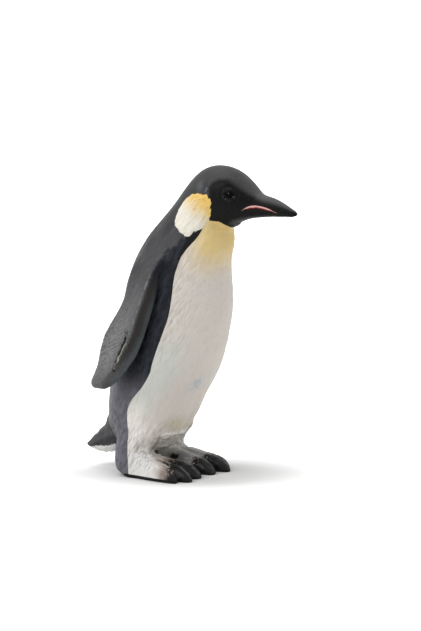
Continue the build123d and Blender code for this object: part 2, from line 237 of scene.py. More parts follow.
def cast_copy(
    name: str, nodes: Iterable[str], voxel: float, pats: Sequence[bpy.types.Object] = ()
) -> bpy.types.Object:
    """Copy CAD nodes into one closed skin.

    Args:
        name: What the copy is called.
        nodes: The CAD nodes it is cast from.
        voxel: The grain of the cast.
        pats: Pats of clay that are pressed onto them.

    Returns:
        The joined, merged and remeshed copy.
    """
    copies = []
    for node in nodes:
        copy = bpy.data.objects.new(name, frame["nodes"][node].data.copy())
        bpy.context.collection.objects.link(copy)
        copies.append(copy)
    copies += pats
    pick(copies[0])
    for copy in copies:
        copy.select_set(True)
    if len(copies) > 1:
        bpy.ops.object.join()
    cast = bpy.context.view_layer.objects.active
    cast.data.materials.clear()
    bpy.ops.object.mode_set(mode="EDIT")
    bpy.ops.mesh.select_all(action="SELECT")
    bpy.ops.mesh.remove_doubles(threshold=MERGE_GAP * MM)
    bpy.ops.object.mode_set(mode="OBJECT")
    apply_modifier(cast, "REMESH", mode="VOXEL", voxel_size=voxel * MM)
    return cast


def take_off(whole: bpy.types.Object, cutter: bpy.types.Object, name: str) -> bpy.types.Object:
    """Saw one piece off the clay along a cutter, and throw the cutter away.

    Args:
        whole: The clay, which loses the piece.
        cutter: A closed block round the piece.
        name: What the piece is called.

    Returns:
        The piece, closed along the saw cut.
    """
    piece = bpy.data.objects.new(name, whole.data.copy())
    bpy.context.collection.objects.link(piece)
    apply_modifier(piece, "BOOLEAN", operation="INTERSECT", solver="MANIFOLD", object=cutter)
    apply_modifier(whole, "BOOLEAN", operation="DIFFERENCE", solver="MANIFOLD", object=cutter)
    bpy.data.objects.remove(cutter)
    return piece


def sweep_chips(piece: bpy.types.Object) -> None:
    """Throw away the chips that the saw left beside a piece.

    Args:
        piece: The piece. What hangs together with its highest point is kept.
    """
    pick(piece)
    bpy.ops.object.mode_set(mode="EDIT")
    bpy.ops.mesh.select_mode(type="VERT")
    bpy.ops.mesh.select_all(action="DESELECT")
    bpy.ops.object.mode_set(mode="OBJECT")
    max(piece.data.vertices, key=lambda vertex: vertex.co.z).select = True
    bpy.ops.object.mode_set(mode="EDIT")
    bpy.ops.mesh.select_linked()
    bpy.ops.mesh.select_all(action="INVERT")
    bpy.ops.mesh.delete(type="VERT")
    bpy.ops.object.mode_set(mode="OBJECT")


def hand_in(piece: bpy.types.Object, node: str, finish: bpy.types.Material) -> None:
    """Finish a piece and tie it to the frame in its CAD node's stead.

    Args:
        piece: The finished mesh.
        node: The CAD node it stands for.
        finish: Its material.
    """
    piece.data.materials.clear()
    piece.data.materials.append(finish)
    sweep_chips(piece)
    bpy.ops.object.shade_smooth_by_angle(angle=math.radians(SMOOTH_ANGLE))
    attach(piece, "root")
    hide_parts(node)
    log.info("%s stands for %s with %d faces", piece.name, node, len(piece.data.polygons))


# Sculpting: distances, grain and brushes on points in millimetres


def both_sides(points: np.ndarray) -> np.ndarray:
    """Fold the left half of the points onto the right half."""
    return np.column_stack((points[:, 0], -np.abs(points[:, 1]), points[:, 2]))


def quarter_view(points: np.ndarray) -> np.ndarray:
    """Give the points as seen from a little above, in front of the bird's right side."""
    turn, rise = math.radians(VIEW_TURN), math.radians(VIEW_RISE)
    right = (math.cos(turn), math.sin(turn), 0.0)
    up = (-math.sin(turn) * math.sin(rise), math.cos(turn) * math.sin(rise), math.cos(rise))
    return points @ np.array((right, up)).T


def side_view(points: np.ndarray) -> np.ndarray:
    """Give the points as seen from the side, as X and Z."""
    return points[:, [0, 2]]


def ease(values: np.ndarray, low: float, high: float) -> np.ndarray:
    """Rise smoothly from 0 at the low value to 1 at the high one."""
    share = np.clip((values - low) / (high - low), 0, 1)
    return share * share * (3 - 2 * share)


def band(values: np.ndarray, start: Spot, end: Spot) -> np.ndarray:
    """Rise from 0 to 1 over the first span, and fall back to 0 over the second."""
    return ease(values, *start) * (1 - ease(values, *end))


def bell(values: np.ndarray, width: float) -> np.ndarray:
    """Fall off from 1 at zero to nothing a few widths away."""
    return np.exp(-((values / width) ** 2))


def taper(along: np.ndarray) -> np.ndarray:
    """Swell from 0 at a line's two ends to 1 at its middle."""
    return np.sqrt(np.clip(np.sin(np.pi * along), 0, 1))


def path_distance(points: np.ndarray, path: Sequence[Sequence[float]]) -> tuple[np.ndarray, np.ndarray]:
    """Measure how far points lie from a bent line.

    Args:
        points: The points, in as many axes as the line has.
        path: The line's corners.

    Returns:
        Each point's distance, and its share of the way along the line.
    """
    corners = np.asarray(path, float)
    runs = np.linalg.norm(np.diff(corners, axis=0), axis=1)
    starts = np.concatenate(([0.0], np.cumsum(runs)))
    best = np.full(len(points), np.inf)
    along = np.zeros(len(points))
    for corner, after, run, start in zip(corners, corners[1:], runs, starts):
        ray = (after - corner) / run
        step = np.clip((points - corner) @ ray, 0, run)
        gap = np.linalg.norm(points - corner - step[:, None] * ray, axis=1)
        nearer = gap < best
        best = np.where(nearer, gap, best)
        along = np.where(nearer, (start + step) / starts[-1], along)
    return best, along


def outline_depth(points: np.ndarray, outline: Sequence[Spot]) -> np.ndarray:
    """Measure how deep points lie inside a closed outline; outside is negative."""
    corners = np.asarray(outline, float)
    gap, _ = path_distance(points, np.vstack((corners, corners[:1])))
    inside = np.zeros(len(points), bool)
    for (x0, z0), (x1, z1) in zip(corners, np.roll(corners, -1, axis=0)):
        spans = (z0 > points[:, 1]) != (z1 > points[:, 1])
        rise = z1 - z0 if z1 != z0 else 1.0
        inside ^= spans & (points[:, 0] < (x1 - x0) * (points[:, 1] - z0) / rise + x0)
    return np.where(inside, gap, -gap)


def grain(points: np.ndarray, seed: int) -> np.ndarray:
    """Give smooth, repeatable grain between -1 and 1 at points whose unit is one grain."""
    cells = np.floor(points).astype(np.int64)
    part = points - cells
    part = part * part * (3 - 2 * part)
    total = np.zeros(len(points))
    for corner in np.ndindex(2, 2, 2):
        mixed = (cells + corner) @ np.array((374761393, 668265263, 1440662683)) + seed * 974711
        mixed = (mixed ^ (mixed >> 13)) * 1274126177
        value = ((mixed ^ (mixed >> 16)) & 0xFFFF) / 32767.5 - 1
        total += value * np.prod(np.where(corner, part, 1 - part), axis=1)
    return total


@dataclass(frozen=True)
class Brush:
    """A brush that leaves grain that is long one way."""

    across: float
    along: float
    lean: float
    seed: int
    deep: float = 1.0

    def stroke(self, points: np.ndarray) -> np.ndarray:
        """Draw the brush over the points.

        The strokes lean forward from upright by the lean in degrees. From the bird's middle outwards
        they keep their place for as many widths as the brush is deep.

        Args:
            points: Where its strokes are read.

        Returns:
            Values between -1 and 1.
        """
        angle = math.radians(self.lean)
        turned = np.column_stack((
            (points[:, 0] * math.cos(angle) - points[:, 2] * math.sin(angle)) / self.across,
            points[:, 1] / (self.across * self.deep),
            (points[:, 0] * math.sin(angle) + points[:, 2] * math.cos(angle)) / self.along,
        ))
        return grain(turned, self.seed)


def smooth_path(path: Sequence[Spot], steps: int) -> list[Spot]:
    """Round a bent line into a curve through the same corners."""
    corners = np.asarray(path, float)
    padded = np.vstack((2 * corners[0] - corners[1], corners, 2 * corners[-1] - corners[-2]))
    curve = []
    for a, b, c, d in zip(padded, padded[1:], padded[2:], padded[3:]):
        for t in np.arange(steps) / steps:
            curve.append(0.5 * (2 * b + (c - a) * t + (2 * a - 5 * b + 4 * c - d) * t**2
                                + (3 * b - a - 3 * c + d) * t**3))
    curve.append(corners[-1])
    return [tuple(spot) for spot in curve]


class Clay:
    """A mesh under the sculptor's hands, with its points in millimetres."""

    END_SHARE = 0.02
    LIGHTEST_RUB = 0.02
    RUB_STRENGTH = 0.5

    def __init__(self, piece: bpy.types.Object) -> None:
        """Take a piece up."""
        self.piece = piece
        self.read()

    def read(self) -> None:
        """Read the piece's points and normals."""
        count = len(self.piece.data.vertices)
        flat = np.empty(count * 3)
        self.piece.data.vertices.foreach_get("co", flat)
        self.points = flat.reshape(-1, 3) / MM
        turned = np.empty(count * 3)
        self.piece.data.vertices.foreach_get("normal", turned)
        self.normals = turned.reshape(-1, 3)

    def raise_by(self, height: np.ndarray) -> None:
        """Push each point out along its normal."""
        self.points = self.points + self.normals * height[:, None]

    def line(self, path: Sequence[Point], width: float, height: float) -> None:
        """Draw a ridge, or with a negative height a groove, that dies away at both ends."""
        gap, along = path_distance(both_sides(self.points), path)
        ends = taper(np.clip(along, self.END_SHARE, 1 - self.END_SHARE))
        self.raise_by(height * ends * bell(gap, width))

    def swell(self, lump: Lump) -> None:
        """Swell or dent the clay on both sides of the bird."""
        gap = np.linalg.norm(both_sides(self.points) - np.array(lump.middle), axis=1)
        self.raise_by(lump.height * bell(gap, lump.radius))

    def near(self, dab: Dab) -> np.ndarray:
        """Fall off from 1 at a place on either side of the bird to 0 away from it."""
        gap = np.linalg.norm((both_sides(self.points) - dab.middle) / np.array(dab.spread), axis=1)
        return bell(gap, 1.0)

    def settle(self) -> None:
        """Write the points back, inside the CAD model's box."""
        low, high = (np.array(corner) / MM for corner in CAD_BOX)
        self.points = np.clip(self.points, low, high)
        self.piece.data.vertices.foreach_set("co", (self.points * MM).ravel())
        self.piece.data.update()

    def mark(self, name: str, values: np.ndarray) -> None:
        """Keep one number for each point, for the paint to read."""
        layer = self.piece.data.attributes.new(name, "FLOAT", "POINT")
        layer.data.foreach_set("value", np.ascontiguousarray(values, np.float32))

    def soften(self, weights: np.ndarray, rounds: int) -> None:
        """Rub the clay smooth where the weights are above 0."""
        group = self.piece.vertex_groups.new(name="rub")
        for index in np.flatnonzero(weights > self.LIGHTEST_RUB):
            group.add([int(index)], float(weights[index]), "REPLACE")
        settings = {"factor": self.RUB_STRENGTH, "iterations": rounds, "vertex_group": "rub"}
        apply_modifier(self.piece, "SMOOTH", **settings)
        self.piece.vertex_groups.clear()
        self.read()


# Painting: node graphs


class Coat:
    """One paint job: a node graph that ends in a painted-plastic shader."""

    NOISE_MIDDLE = 0.5
    NOISE_SPAN = (0.3, 0.7)
    BUMP_STRENGTH = 0.6
    MIX_UNDER, MIX_UPPER, MIX_RESULT = 6, 7, 2

    def __init__(self, name: str) -> None:
        """Start an empty graph with its shader."""
        self.material = bpy.data.materials.new(name)
        self.material.use_nodes = True
        self.tree = self.material.node_tree
        self.tree.nodes.clear()
        self.shader = self.add("ShaderNodeBsdfPrincipled")
        output = self.add("ShaderNodeOutputMaterial")
        self.tree.links.new(self.shader.outputs["BSDF"], output.inputs["Surface"])
        self.place = self.add("ShaderNodeTexCoord").outputs["Object"]

    def add(self, kind: str, **settings: Any) -> bpy.types.Node:
        """Add a node and set its properties."""
        node = self.tree.nodes.new(kind)
        for key, value in settings.items():
            setattr(node, key, value)
        return node

    def feed(self, socket: bpy.types.NodeSocket, value: Any) -> None:
        """Link a socket to another node's output, or set it to a number, colour or paint."""
        if isinstance(value, bpy.types.NodeSocket):
            self.tree.links.new(value, socket)
        elif isinstance(value, Paint):
            socket.default_value = value.linear
        else:
            socket.default_value = value

    def field(self, name: str) -> bpy.types.NodeSocket:
        """Read a number kept in the mesh's points."""
        return self.add("ShaderNodeAttribute", attribute_name=name).outputs["Fac"]

    def speckle(self, kind: Speckle) -> bpy.types.NodeSocket:
        """Make noise of one kind, about 0 to 1."""
        mapping = self.add("ShaderNodeMapping", vector_type="TEXTURE")
        mapping.inputs["Scale"].default_value = [edge * MM for edge in kind.size]
        mapping.inputs["Rotation"].default_value = (0.0, math.radians(kind.lean), 0.0)
        self.feed(mapping.inputs["Vector"], self.place)
        noise = self.add("ShaderNodeTexNoise")
        noise.inputs["Scale"].default_value = 1.0
        noise.inputs["Detail"].default_value = kind.layers
        self.feed(noise.inputs["Vector"], mapping.outputs["Vector"])
        return noise.outputs["Fac"]

    def combine(self, operation: str, first: Any, second: Any) -> bpy.types.NodeSocket:
        """Work out one sum of two numbers."""
        node = self.add("ShaderNodeMath", operation=operation)
        self.feed(node.inputs[0], first)
        self.feed(node.inputs[1], second)
        return node.outputs[0]

    def times(self, first: Any, second: Any) -> bpy.types.NodeSocket:
        """Multiply two numbers."""
        return self.combine("MULTIPLY", first, second)

    def plus(self, first: Any, second: Any) -> bpy.types.NodeSocket:
        """Add two numbers."""
        return self.combine("ADD", first, second)

    def sway(self, noise: bpy.types.NodeSocket, width: float) -> bpy.types.NodeSocket:
        """Swing noise about zero by a width."""
        return self.times(self.combine("SUBTRACT", noise, self.NOISE_MIDDLE), width)

    def rise(
        self, value: Any, low: float, high: float, bottom: float = 0.0, top: float = 1.0
    ) -> bpy.types.NodeSocket:
        """Turn a number into a smooth step between two others."""
        node = self.add("ShaderNodeMapRange", interpolation_type="SMOOTHSTEP")
        for socket, number in zip(node.inputs, (value, low, high, bottom, top)):
            self.feed(socket, number)
        return node.outputs[0]

    def over(self, share: Any, under: Any, upper: Any) -> bpy.types.NodeSocket:
        """Lay one paint over another by a share."""
        node = self.add("ShaderNodeMix", data_type="RGBA")
        self.feed(node.inputs["Factor"], share)
        self.feed(node.inputs[self.MIX_UNDER], under)
        self.feed(node.inputs[self.MIX_UPPER], upper)
        return node.outputs[self.MIX_RESULT]

    def finish(
        self, colour: Any, height: Any, depth: float, shine: Spot, gleam: float, gloss: Any = None
    ) -> bpy.types.Material:
        """Set colour, fine relief and an uneven satin on the shader.

        Args:
            colour: The paint.
            height: Noise for the fine relief.
            depth: How deep that relief is.
            shine: Roughness where the gloss noise is low and where it is high.
            gleam: How strongly it reflects.
            gloss: Noise for the gloss, where it isn't the relief's.

        Returns:
            The finished material.
        """
        self.feed(self.shader.inputs["Base Color"], colour)
        uneven = height if gloss is None else gloss
        self.feed(self.shader.inputs["Roughness"], self.rise(uneven, *self.NOISE_SPAN, *shine))
        bump = self.add("ShaderNodeBump")
        bump.inputs["Strength"].default_value = self.BUMP_STRENGTH
        bump.inputs["Distance"].default_value = depth * MM
        self.feed(bump.inputs["Height"], height)
        self.feed(self.shader.inputs["Normal"], bump.outputs["Normal"])
        self.shader.inputs["Specular IOR Level"].default_value = gleam
        return self.material


# Where the paint and the folds lie: outlines and lines in side view, folds as the camera sees them

EAR_OUTLINE: tuple[Spot, ...] = (
    (3.85, 77.9), (6.1, 78.4), (8.9, 78.3), (10.05, 76.8), (10.2, 75.6), (9.5, 72.8), (8.9, 71.1),
    (7.1, 68.9), (5.5, 68.2), (4.0, 66.7), (2.6, 67.1), (-0.2, 69.2), (-0.7, 70.5), (-0.5, 72.5),
    (1.0, 75.5), (2.4, 76.85),
)
FACE_OUTLINE: tuple[Spot, ...] = (
    (9.3, 80.3), (9.9, 81.5), (11.3, 82.4), (13.5, 82.5), (15.1, 81.7), (17.2, 80.2), (19.4, 78.8),
    (23.1, 77.2), (34.0, 75.2), (34.0, 60.0), (8.6, 60.0), (8.9, 71.1), (9.8, 75.5),
)
MOUTH_LINE: tuple[Spot, ...] = (
    (17.6, 74.1), (18.8, 75.0), (20.15, 75.6), (21.6, 75.75), (23.4, 75.6), (25.6, 75.05), (27.9, 74.1),
)
BELLY_LIP: tuple[Point, ...] = (
    (-5.9, -6.4, 11.2), (-5.3, -4.9, 11.5), (-4.6, -2.9, 11.5), (-4.3, 0.0, 11.4),
)
BELLY_TUCK: tuple[Point, ...] = tuple((x - 0.6, y, z - 1.2) for x, y, z in BELLY_LIP)
# Fold lines as the camera sees them, which get painted shade in the creases
SHADED_FOLD_LINES: tuple[tuple[Spot, ...], ...] = (
    ((-9.1, 11.0), (-9.5, 10.1), (-10.1, 8.7), (-11.2, 7.3), (-12.3, 6.1), (-11.8, 5.8)),
    ((-9.0, 9.6), (-7.4, 9.7), (-6.1, 10.1)),
    ((-10.8, 7.0), (-8.4, 7.2), (-6.1, 7.5)),
)
# Fold lines that get painted highlights on their crests
HIGHLIT_FOLD_LINES: tuple[tuple[Spot, ...], ...] = (
    ((-9.9, 7.9), (-7.4, 8.3), (-6.1, 8.8)),
    ((-8.8, 10.2), (-7.6, 10.3), (-6.6, 10.6)),
)
LEG_CREASE: tuple[Point, ...] = (
    (-5.4, -7.8, 12.4), (-6.4, -7.4, 10.6), (-7.9, -7.3, 8.8), (-8.8, -8.6, 6.8), (-8.9, -10.4, 5.9),
    (-8.9, -11.9, 5.2), (-10.0, -12.5, 4.3),
)
WEDGE_LINE: tuple[Spot, ...] = ((6.6, 68.5), (5.4, 66.7), (4.1, 64.6), (2.8, 62.4), (2.2, 60.8))
PARTING_LINE: tuple[Spot, ...] = (
    (-13.1, -4.0), (-13.1, 2.6), (-13.35, 10.2), (-13.5, 17.6), (-11.7, 21.4), (-8.1, 25.3), (-5.5, 29.2),
    (-4.7, 31.6), (-3.2, 35.7), (-1.2, 40.7), (0.2, 44.7), (1.0, 49.8), (1.3, 55.5), (2.1, 60.0),
    (3.1, 62.3), (4.8, 64.7), (6.3, 66.7), (7.3, 68.8), (8.4, 72.0), (9.2, 76.0),
)
RIDGE_LINE: tuple[Spot, ...] = (
    (-17.5, 26.5), (-16.0, 28.2), (-13.7, 30.6), (-10.4, 35.8), (-8.1, 40.8), (-5.2, 50.7), (-4.1, 55.8),
    (-3.6, 59.9), (-2.6, 61.7), (-1.5, 62.8), (0.4, 64.1), (2.2, 66.3), (3.6, 67.3), (8.0, 69.0),
)


CHIN_LEVEL = 68.93
CHIN_SLOPE = 0.028
CHIN_SPREAD = 0.304
CHIN_DIP = 1.1
CHIN_DIP_SPAN: Spot = (11.5, 13.5)
NEAR_LEG_EDGE: Spot = (6.2, 7.4)
FAR_LEG_EDGE: Spot = (10.0, 13.0)
HEEL_RISE = 2.2
HEEL_SPAN: Spot = (12.0, 20.0)
EAR_FOOT: Spot = (2.0, 68.5)
EAR_AXIS: Spot = (0.6, 0.8)
THROAT_HEIGHT: Spot = (53.0, 64.5)
THROAT_FRONT: Spot = (3.0, 9.0)
LONG_FEATHERS = Brush(0.9, 4.5, 26.0, 1, 3.0)
SHORT_FEATHERS = Brush(0.65, 2.8, 34.0, 2, 3.0)
LONG_TUFTS = Brush(0.9, 2.8, 40.0, 5)
SHORT_TUFTS = Brush(0.6, 1.5, 52.0, 6)


def ahead_of(points: np.ndarray, line: Sequence[Spot]) -> np.ndarray:
    """Measure how far points lie in front of a line that runs up the bird's side."""
    spots = np.array(line)
    return points[:, 0] - np.interp(points[:, 2], spots[:, 1], spots[:, 0])


def chin_height(points: np.ndarray) -> np.ndarray:
    """Measure how far points lie above the line where the black chin meets the throat."""
    forward, outward = points[:, 0], np.abs(points[:, 1])
    dip = CHIN_DIP * ease(forward, *CHIN_DIP_SPAN)
    return points[:, 2] - (CHIN_LEVEL + CHIN_SLOPE * forward + CHIN_SPREAD * outward - dip)


def between_legs(points: np.ndarray) -> np.ndarray:
    """Tell how far points lie in the recess between the legs that gets painted shade, wider on the left
    leg.
    """
    right = 1 - ease(-points[:, 1], *NEAR_LEG_EDGE)
    left = 1 - ease(points[:, 1], *FAR_LEG_EDGE)
    return np.where(points[:, 1] < 0, right, left)


def right_half(points: np.ndarray) -> np.ndarray:
    """Fade from 1 on the right half of the belly to 0 on the left half."""
    return 1 - ease(points[:, 1], 0.0, 3.5)


def heel_lift(points: np.ndarray) -> np.ndarray:
    """Give how far the sole curves up towards the back of the heel."""
    return HEEL_RISE * ease(-points[:, 0], *HEEL_SPAN)


def plumage(points: np.ndarray) -> np.ndarray:
    """Give the lie of the body's feathers: soft swells with narrow cuts between them, about -1 to 1."""
    long, short = LONG_FEATHERS.stroke(points), SHORT_FEATHERS.stroke(points)
    cuts = bell(long, 0.16) + 0.8 * bell(short, 0.18)
    return 0.4 * long + 0.4 * short + 0.35 - 0.8 * cuts


def ear_tufts(points: np.ndarray) -> np.ndarray:
    """Give the lie of the ear patch's feathers, about -1 to 1."""
    long, short = LONG_TUFTS.stroke(points), SHORT_TUFTS.stroke(points)
    return 0.5 * long + 0.4 * short + 0.3 - 0.8 * bell(long, 0.2)


@dataclass
class Bird:
    """The whole bird modelled as one clay, before it is sawn along its seams."""

    voxel: float = 0.25
    first_rub: int = 4
    join_rub: int = 60
    blend_rub: int = 250
    leg_pat: Dab = Dab((-12.0, 0.0, 9.5), (4.6, 7.0, 3.6))
    tail_pat: Dab = Dab((-23.5, 0.0, 12.8), (3.0, 6.0, 3.6))
    shoulder: Dab = Dab((-4.0, -11.2, 61.5), (6.0, 4.0, 4.5))
    flipper_tip: Dab = Dab((-19.5, -18.8, 25.0), (3.0, 3.0, 2.5))
    thigh_height: float = 15.5
    thigh_spread: float = 5.0
    thigh_back: Spot = (-21.0, -19.0)
    shoulder_cap: Dab = Dab((-2.4, -11.5, 62.3), (4.0, 3.5, 4.0))
    shoulder_blade: Dab = Dab((-7.5, -11.5, 62.0), (4.5, 4.0, 4.0))
    tail_root: Dab = Dab((-23.5, 0.0, 14.0), (3.5, 7.0, 5.0))
    crotch: Dab = Dab((-8.5, 0.0, 9.0), (3.0, 6.0, 3.0))
    low_belly: Dab = Dab((-3.0, 0.0, 14.5), (5.0, 9.0, 4.5))
    instep_height: Span = ((1.0, 2.2), (4.6, 6.5))
    instep_front: Spot = (-2.5, 0.5)

    bill_side: Spot = (0.5, 1.2)
    mouth_depth: float = 0.2
    mouth_width: float = 0.38
    under_mouth: float = 0.14
    under_mouth_width: float = 0.45
    under_mouth_drop: float = 0.7
    lip_height: float = 0.35
    lip_front: Spot = (8.5, 11.5)
    lip_middle: float = 0.45
    lip_width: float = 0.5
    throat_drop: float = 0.7
    throat_width: float = 0.6
    throat_share: float = 0.5
    chin_tip: Lump = Lump((14.5, -0.3, 69.4), 0.8, 0.7)
    bill_hook: Lump = Lump((31.2, 0.0, 73.6), 1.3, 0.22)
    ear_relief: float = 0.34
    ear_edge: Spot = (-0.3, 0.7)
    ear_share: float = 0.7
    eye: Point = (15.15, -6.48, 78.75)
    eye_opening: Spot = (1.3, 0.92)
    eye_reach: float = 3.5
    eye_depth: float = 0.4
    eye_edge: Spot = (0.8, 1.05)
    lid_height: float = 0.16
    lid_inside: Spot = (0.9, 1.15)
    lid_outside: Spot = (1.4, 2.1)
    lid_groove: float = 0.1
    groove_reach: float = 2.3
    groove_width: float = 0.35
    groove_share: float = 0.5
    groove_grain: Brush = Brush(1.4, 1.4, 0.0, 33)
    lid_crinkle: float = 0.12
    crinkle_reach: float = 1.7
    crinkle_width: float = 0.5
    crinkle_grain: Brush = Brush(0.6, 0.6, 0.0, 34)
    brow: Lump = Lump((14.0, -6.2, 81.4), 1.1, 0.18)

    groin: Lump = Lump((-4.2, -6.1, 12.6), 2.2, -1.0)
    paunch: Lump = Lump((-0.9, -2.0, 17.5), 4.0, 0.7)
    ankle: Dab = Dab((-7.2, -9.0, 8.3), (3.2, 4.5, 3.2))
    ankle_slimmed: float = 1.3
    lip_highlight_height: float = 0.45
    lip_highlight_width: float = 0.5
    tuck_shade_depth: float = 0.5
    tuck_shade_width: float = 0.6
    recess: Dab = Dab((-7.5, 0.0, 9.0), (4.0, 8.0, 2.6))
    recess_folds: float = 0.5
    fold_size: Point = (2.4, 3.2, 0.75)
    fold_slope: float = 0.35
    crease_depth: float = 0.5
    crease_width: float = 0.55
    crease_edge: float = 0.2
    crease_edge_width: float = 0.8
    sole_reach: float = 6.0

    belly_relief: float = 0.05
    chest_relief: float = 0.14
    leg_relief: float = 0.22
    back_relief: float = 0.05
    heel_roughness: float = 0.07
    feather_sides: Spot = (-15.0, -13.5)
    feather_floor: Spot = (4.0, 6.0)
    leg_top: Spot = (9.0, 18.0)
    parting_edge: Spot = (-0.6, 0.6)
    flank_width: float = 6.0
    flank_height: Spot = (24.0, 40.0)
    head_height: Spot = (69.0, 74.0)
    head_smoothed: float = 0.6
    heel_top: Spot = (14.0, 24.0)
    coarse_heel: Brush = Brush(0.9, 0.9, 0.0, 31)
    fine_heel: Brush = Brush(0.5, 0.5, 0.0, 32)
    fine_share: float = 0.7

    def build(self) -> bpy.types.Object:
        """Cast, rub smooth and sculpt the clay.

        Returns:
            The clay, still in one.
        """
        nodes = ["head", "body_front", "body_back", "body_core", "tail"]
        nodes += [side.node(limb) for side in Side for limb in ("eye", "flipper", "foot")]
        pats = [pat_of_clay(self.leg_pat), pat_of_clay(self.tail_pat)]
        piece = cast_copy("bird_clay", nodes, self.voxel, pats)
        apply_modifier(piece, "SMOOTH", factor=Clay.RUB_STRENGTH, iterations=self.first_rub)
        clay = Clay(piece)
        self.rub_joins(clay)
        self.sculpt_face(clay)
        self.sculpt_legs(clay)
        self.lay_feathers(clay)
        clay.settle()
        return piece

    def rub_joins(self, clay: Clay) -> None:
        """Blend the shoulders, the thighs, the insteps and the root of the tail into the body."""
        thigh = bell(clay.points[:, 2] - self.thigh_height, self.thigh_spread)
        thigh = thigh * ease(clay.points[:, 0], *self.thigh_back)
        weights = clay.near(self.shoulder) + thigh + clay.near(self.flipper_tip)
        clay.soften(np.clip(weights, 0, 1), self.join_rub)
        places = (self.shoulder_cap, self.shoulder_blade, self.tail_root, self.crotch, self.low_belly)
        weights = sum(clay.near(place) for place in places)
        instep = band(clay.points[:, 2], *self.instep_height)
        instep = instep * (1 - ease(clay.points[:, 0], *self.instep_front))
        clay.soften(np.clip(weights + instep, 0, 1), self.blend_rub)

    def sculpt_face(self, clay: Clay) -> None:
        """Carve the mouth, the eyelids, the chin's lip and the raised ear patch."""
        seen = side_view(clay.points)
        gap, along = path_distance(seen, MOUTH_LINE)
        bill = ease(np.abs(clay.points[:, 1]), *self.bill_side)
        clay.raise_by(-self.mouth_depth * bill * taper(along) * bell(gap, self.mouth_width))
        gap, _ = path_distance(seen, np.asarray(MOUTH_LINE) - (0.0, self.under_mouth_drop))
        clay.raise_by(self.under_mouth * bill * taper(along) * bell(gap, self.under_mouth_width))
        self.open_eyes(clay)
        above = chin_height(clay.points)
        front = ease(clay.points[:, 0], *self.lip_front)
        lip = bell(above - self.lip_middle, self.lip_width)
        throat = self.throat_share * bell(above + self.throat_drop, self.throat_width)
        clay.raise_by(self.lip_height * front * (lip - throat))
        clay.swell(self.chin_tip)
        clay.swell(self.bill_hook)
        depth = outline_depth(side_view(clay.points), EAR_OUTLINE)
        tufts = self.ear_share + self.ear_share * ear_tufts(clay.points)
        clay.raise_by(self.ear_relief * ease(depth, *self.ear_edge) * tufts)

    def open_eyes(self, clay: Clay) -> None:
        """Press the lids open, so that the bead of each eye looks out between them."""
        across, _, up = (both_sides(clay.points) - self.eye).T
        reach = np.linalg.norm(both_sides(clay.points) - self.eye, axis=1)
        slit = np.hypot(across / self.eye_opening[0], up / self.eye_opening[1])
        lid = self.lid_height * ease(slit, *self.lid_inside) * (1 - ease(reach, *self.lid_outside))
        opening = -self.eye_depth * (1 - ease(slit, *self.eye_edge))
        groove = -self.lid_groove * bell(reach - self.groove_reach, self.groove_width)
        groove = groove * (self.groove_share + self.groove_grain.stroke(clay.points))
        crinkle = self.lid_crinkle * self.crinkle_grain.stroke(clay.points)
        crinkle = crinkle * bell(reach - self.crinkle_reach, self.crinkle_width)
        clay.raise_by((reach < self.eye_reach) * (lid + opening + groove + crinkle))
        clay.swell(self.brow)

    def sculpt_legs(self, clay: Clay) -> None:
        """Shape the belly and the lip under it, slim the ankles and cut the creases of the legs."""
        clay.swell(self.groin)
        clay.swell(self.paunch)
        ankle = clay.near(self.ankle) * np.clip(clay.normals[:, 0], 0, 1)
        clay.points[:, 0] -= self.ankle_slimmed * ankle
        right = right_half(clay.points)
        gap, _ = path_distance(both_sides(clay.points), BELLY_LIP)
        clay.raise_by(self.lip_highlight_height * right * bell(gap, self.lip_highlight_width))
        gap, _ = path_distance(both_sides(clay.points), BELLY_TUCK)
        clay.raise_by(-self.tuck_shade_depth * right * bell(gap, self.tuck_shade_width))
        slope = clay.points[:, :1] * (0.0, 0.0, self.fold_slope)
        folds = grain(clay.points / self.fold_size + slope, 41)
        clay.raise_by(self.recess_folds * clay.near(self.recess) * folds)
        clay.line(LEG_CREASE, self.crease_width, -self.crease_depth)
        edge = [(x + 0.3, y - 0.2, z + 1.0) for x, y, z in LEG_CREASE]
        clay.line(edge, self.crease_edge_width, self.crease_edge)
        clay.points[:, 2] += heel_lift(clay.points) * (1 - ease(clay.points[:, 2], 0.0, self.sole_reach))

    def lay_feathers(self, clay: Clay) -> None:
        """Press the lie of the feathers into the skin, deepest on the legs, and roughen the heels."""
        points = clay.points
        height = points[:, 2]
        body = ease(-np.abs(points[:, 1]), *self.feather_sides) * ease(height, *self.feather_floor)
        low = 1 - ease(height, *self.leg_top)
        ahead = ahead_of(points, PARTING_LINE)
        front = ease(ahead, *self.parting_edge)
        edge = bell(ahead, self.flank_width) * ease(height, *self.flank_height)
        white = self.belly_relief + (self.chest_relief - self.belly_relief) * edge
        white = white + (self.leg_relief - white) * low
        relief = self.back_relief + (white - self.back_relief) * front
        relief = relief * (1 - self.head_smoothed * ease(height, *self.head_height)) * body
        clay.raise_by(relief * plumage(points))
        rough = self.coarse_heel.stroke(points) + self.fine_share * self.fine_heel.stroke(points)
        clay.raise_by(self.heel_roughness * rough * (1 - front) * (1 - ease(height, *self.heel_top)))


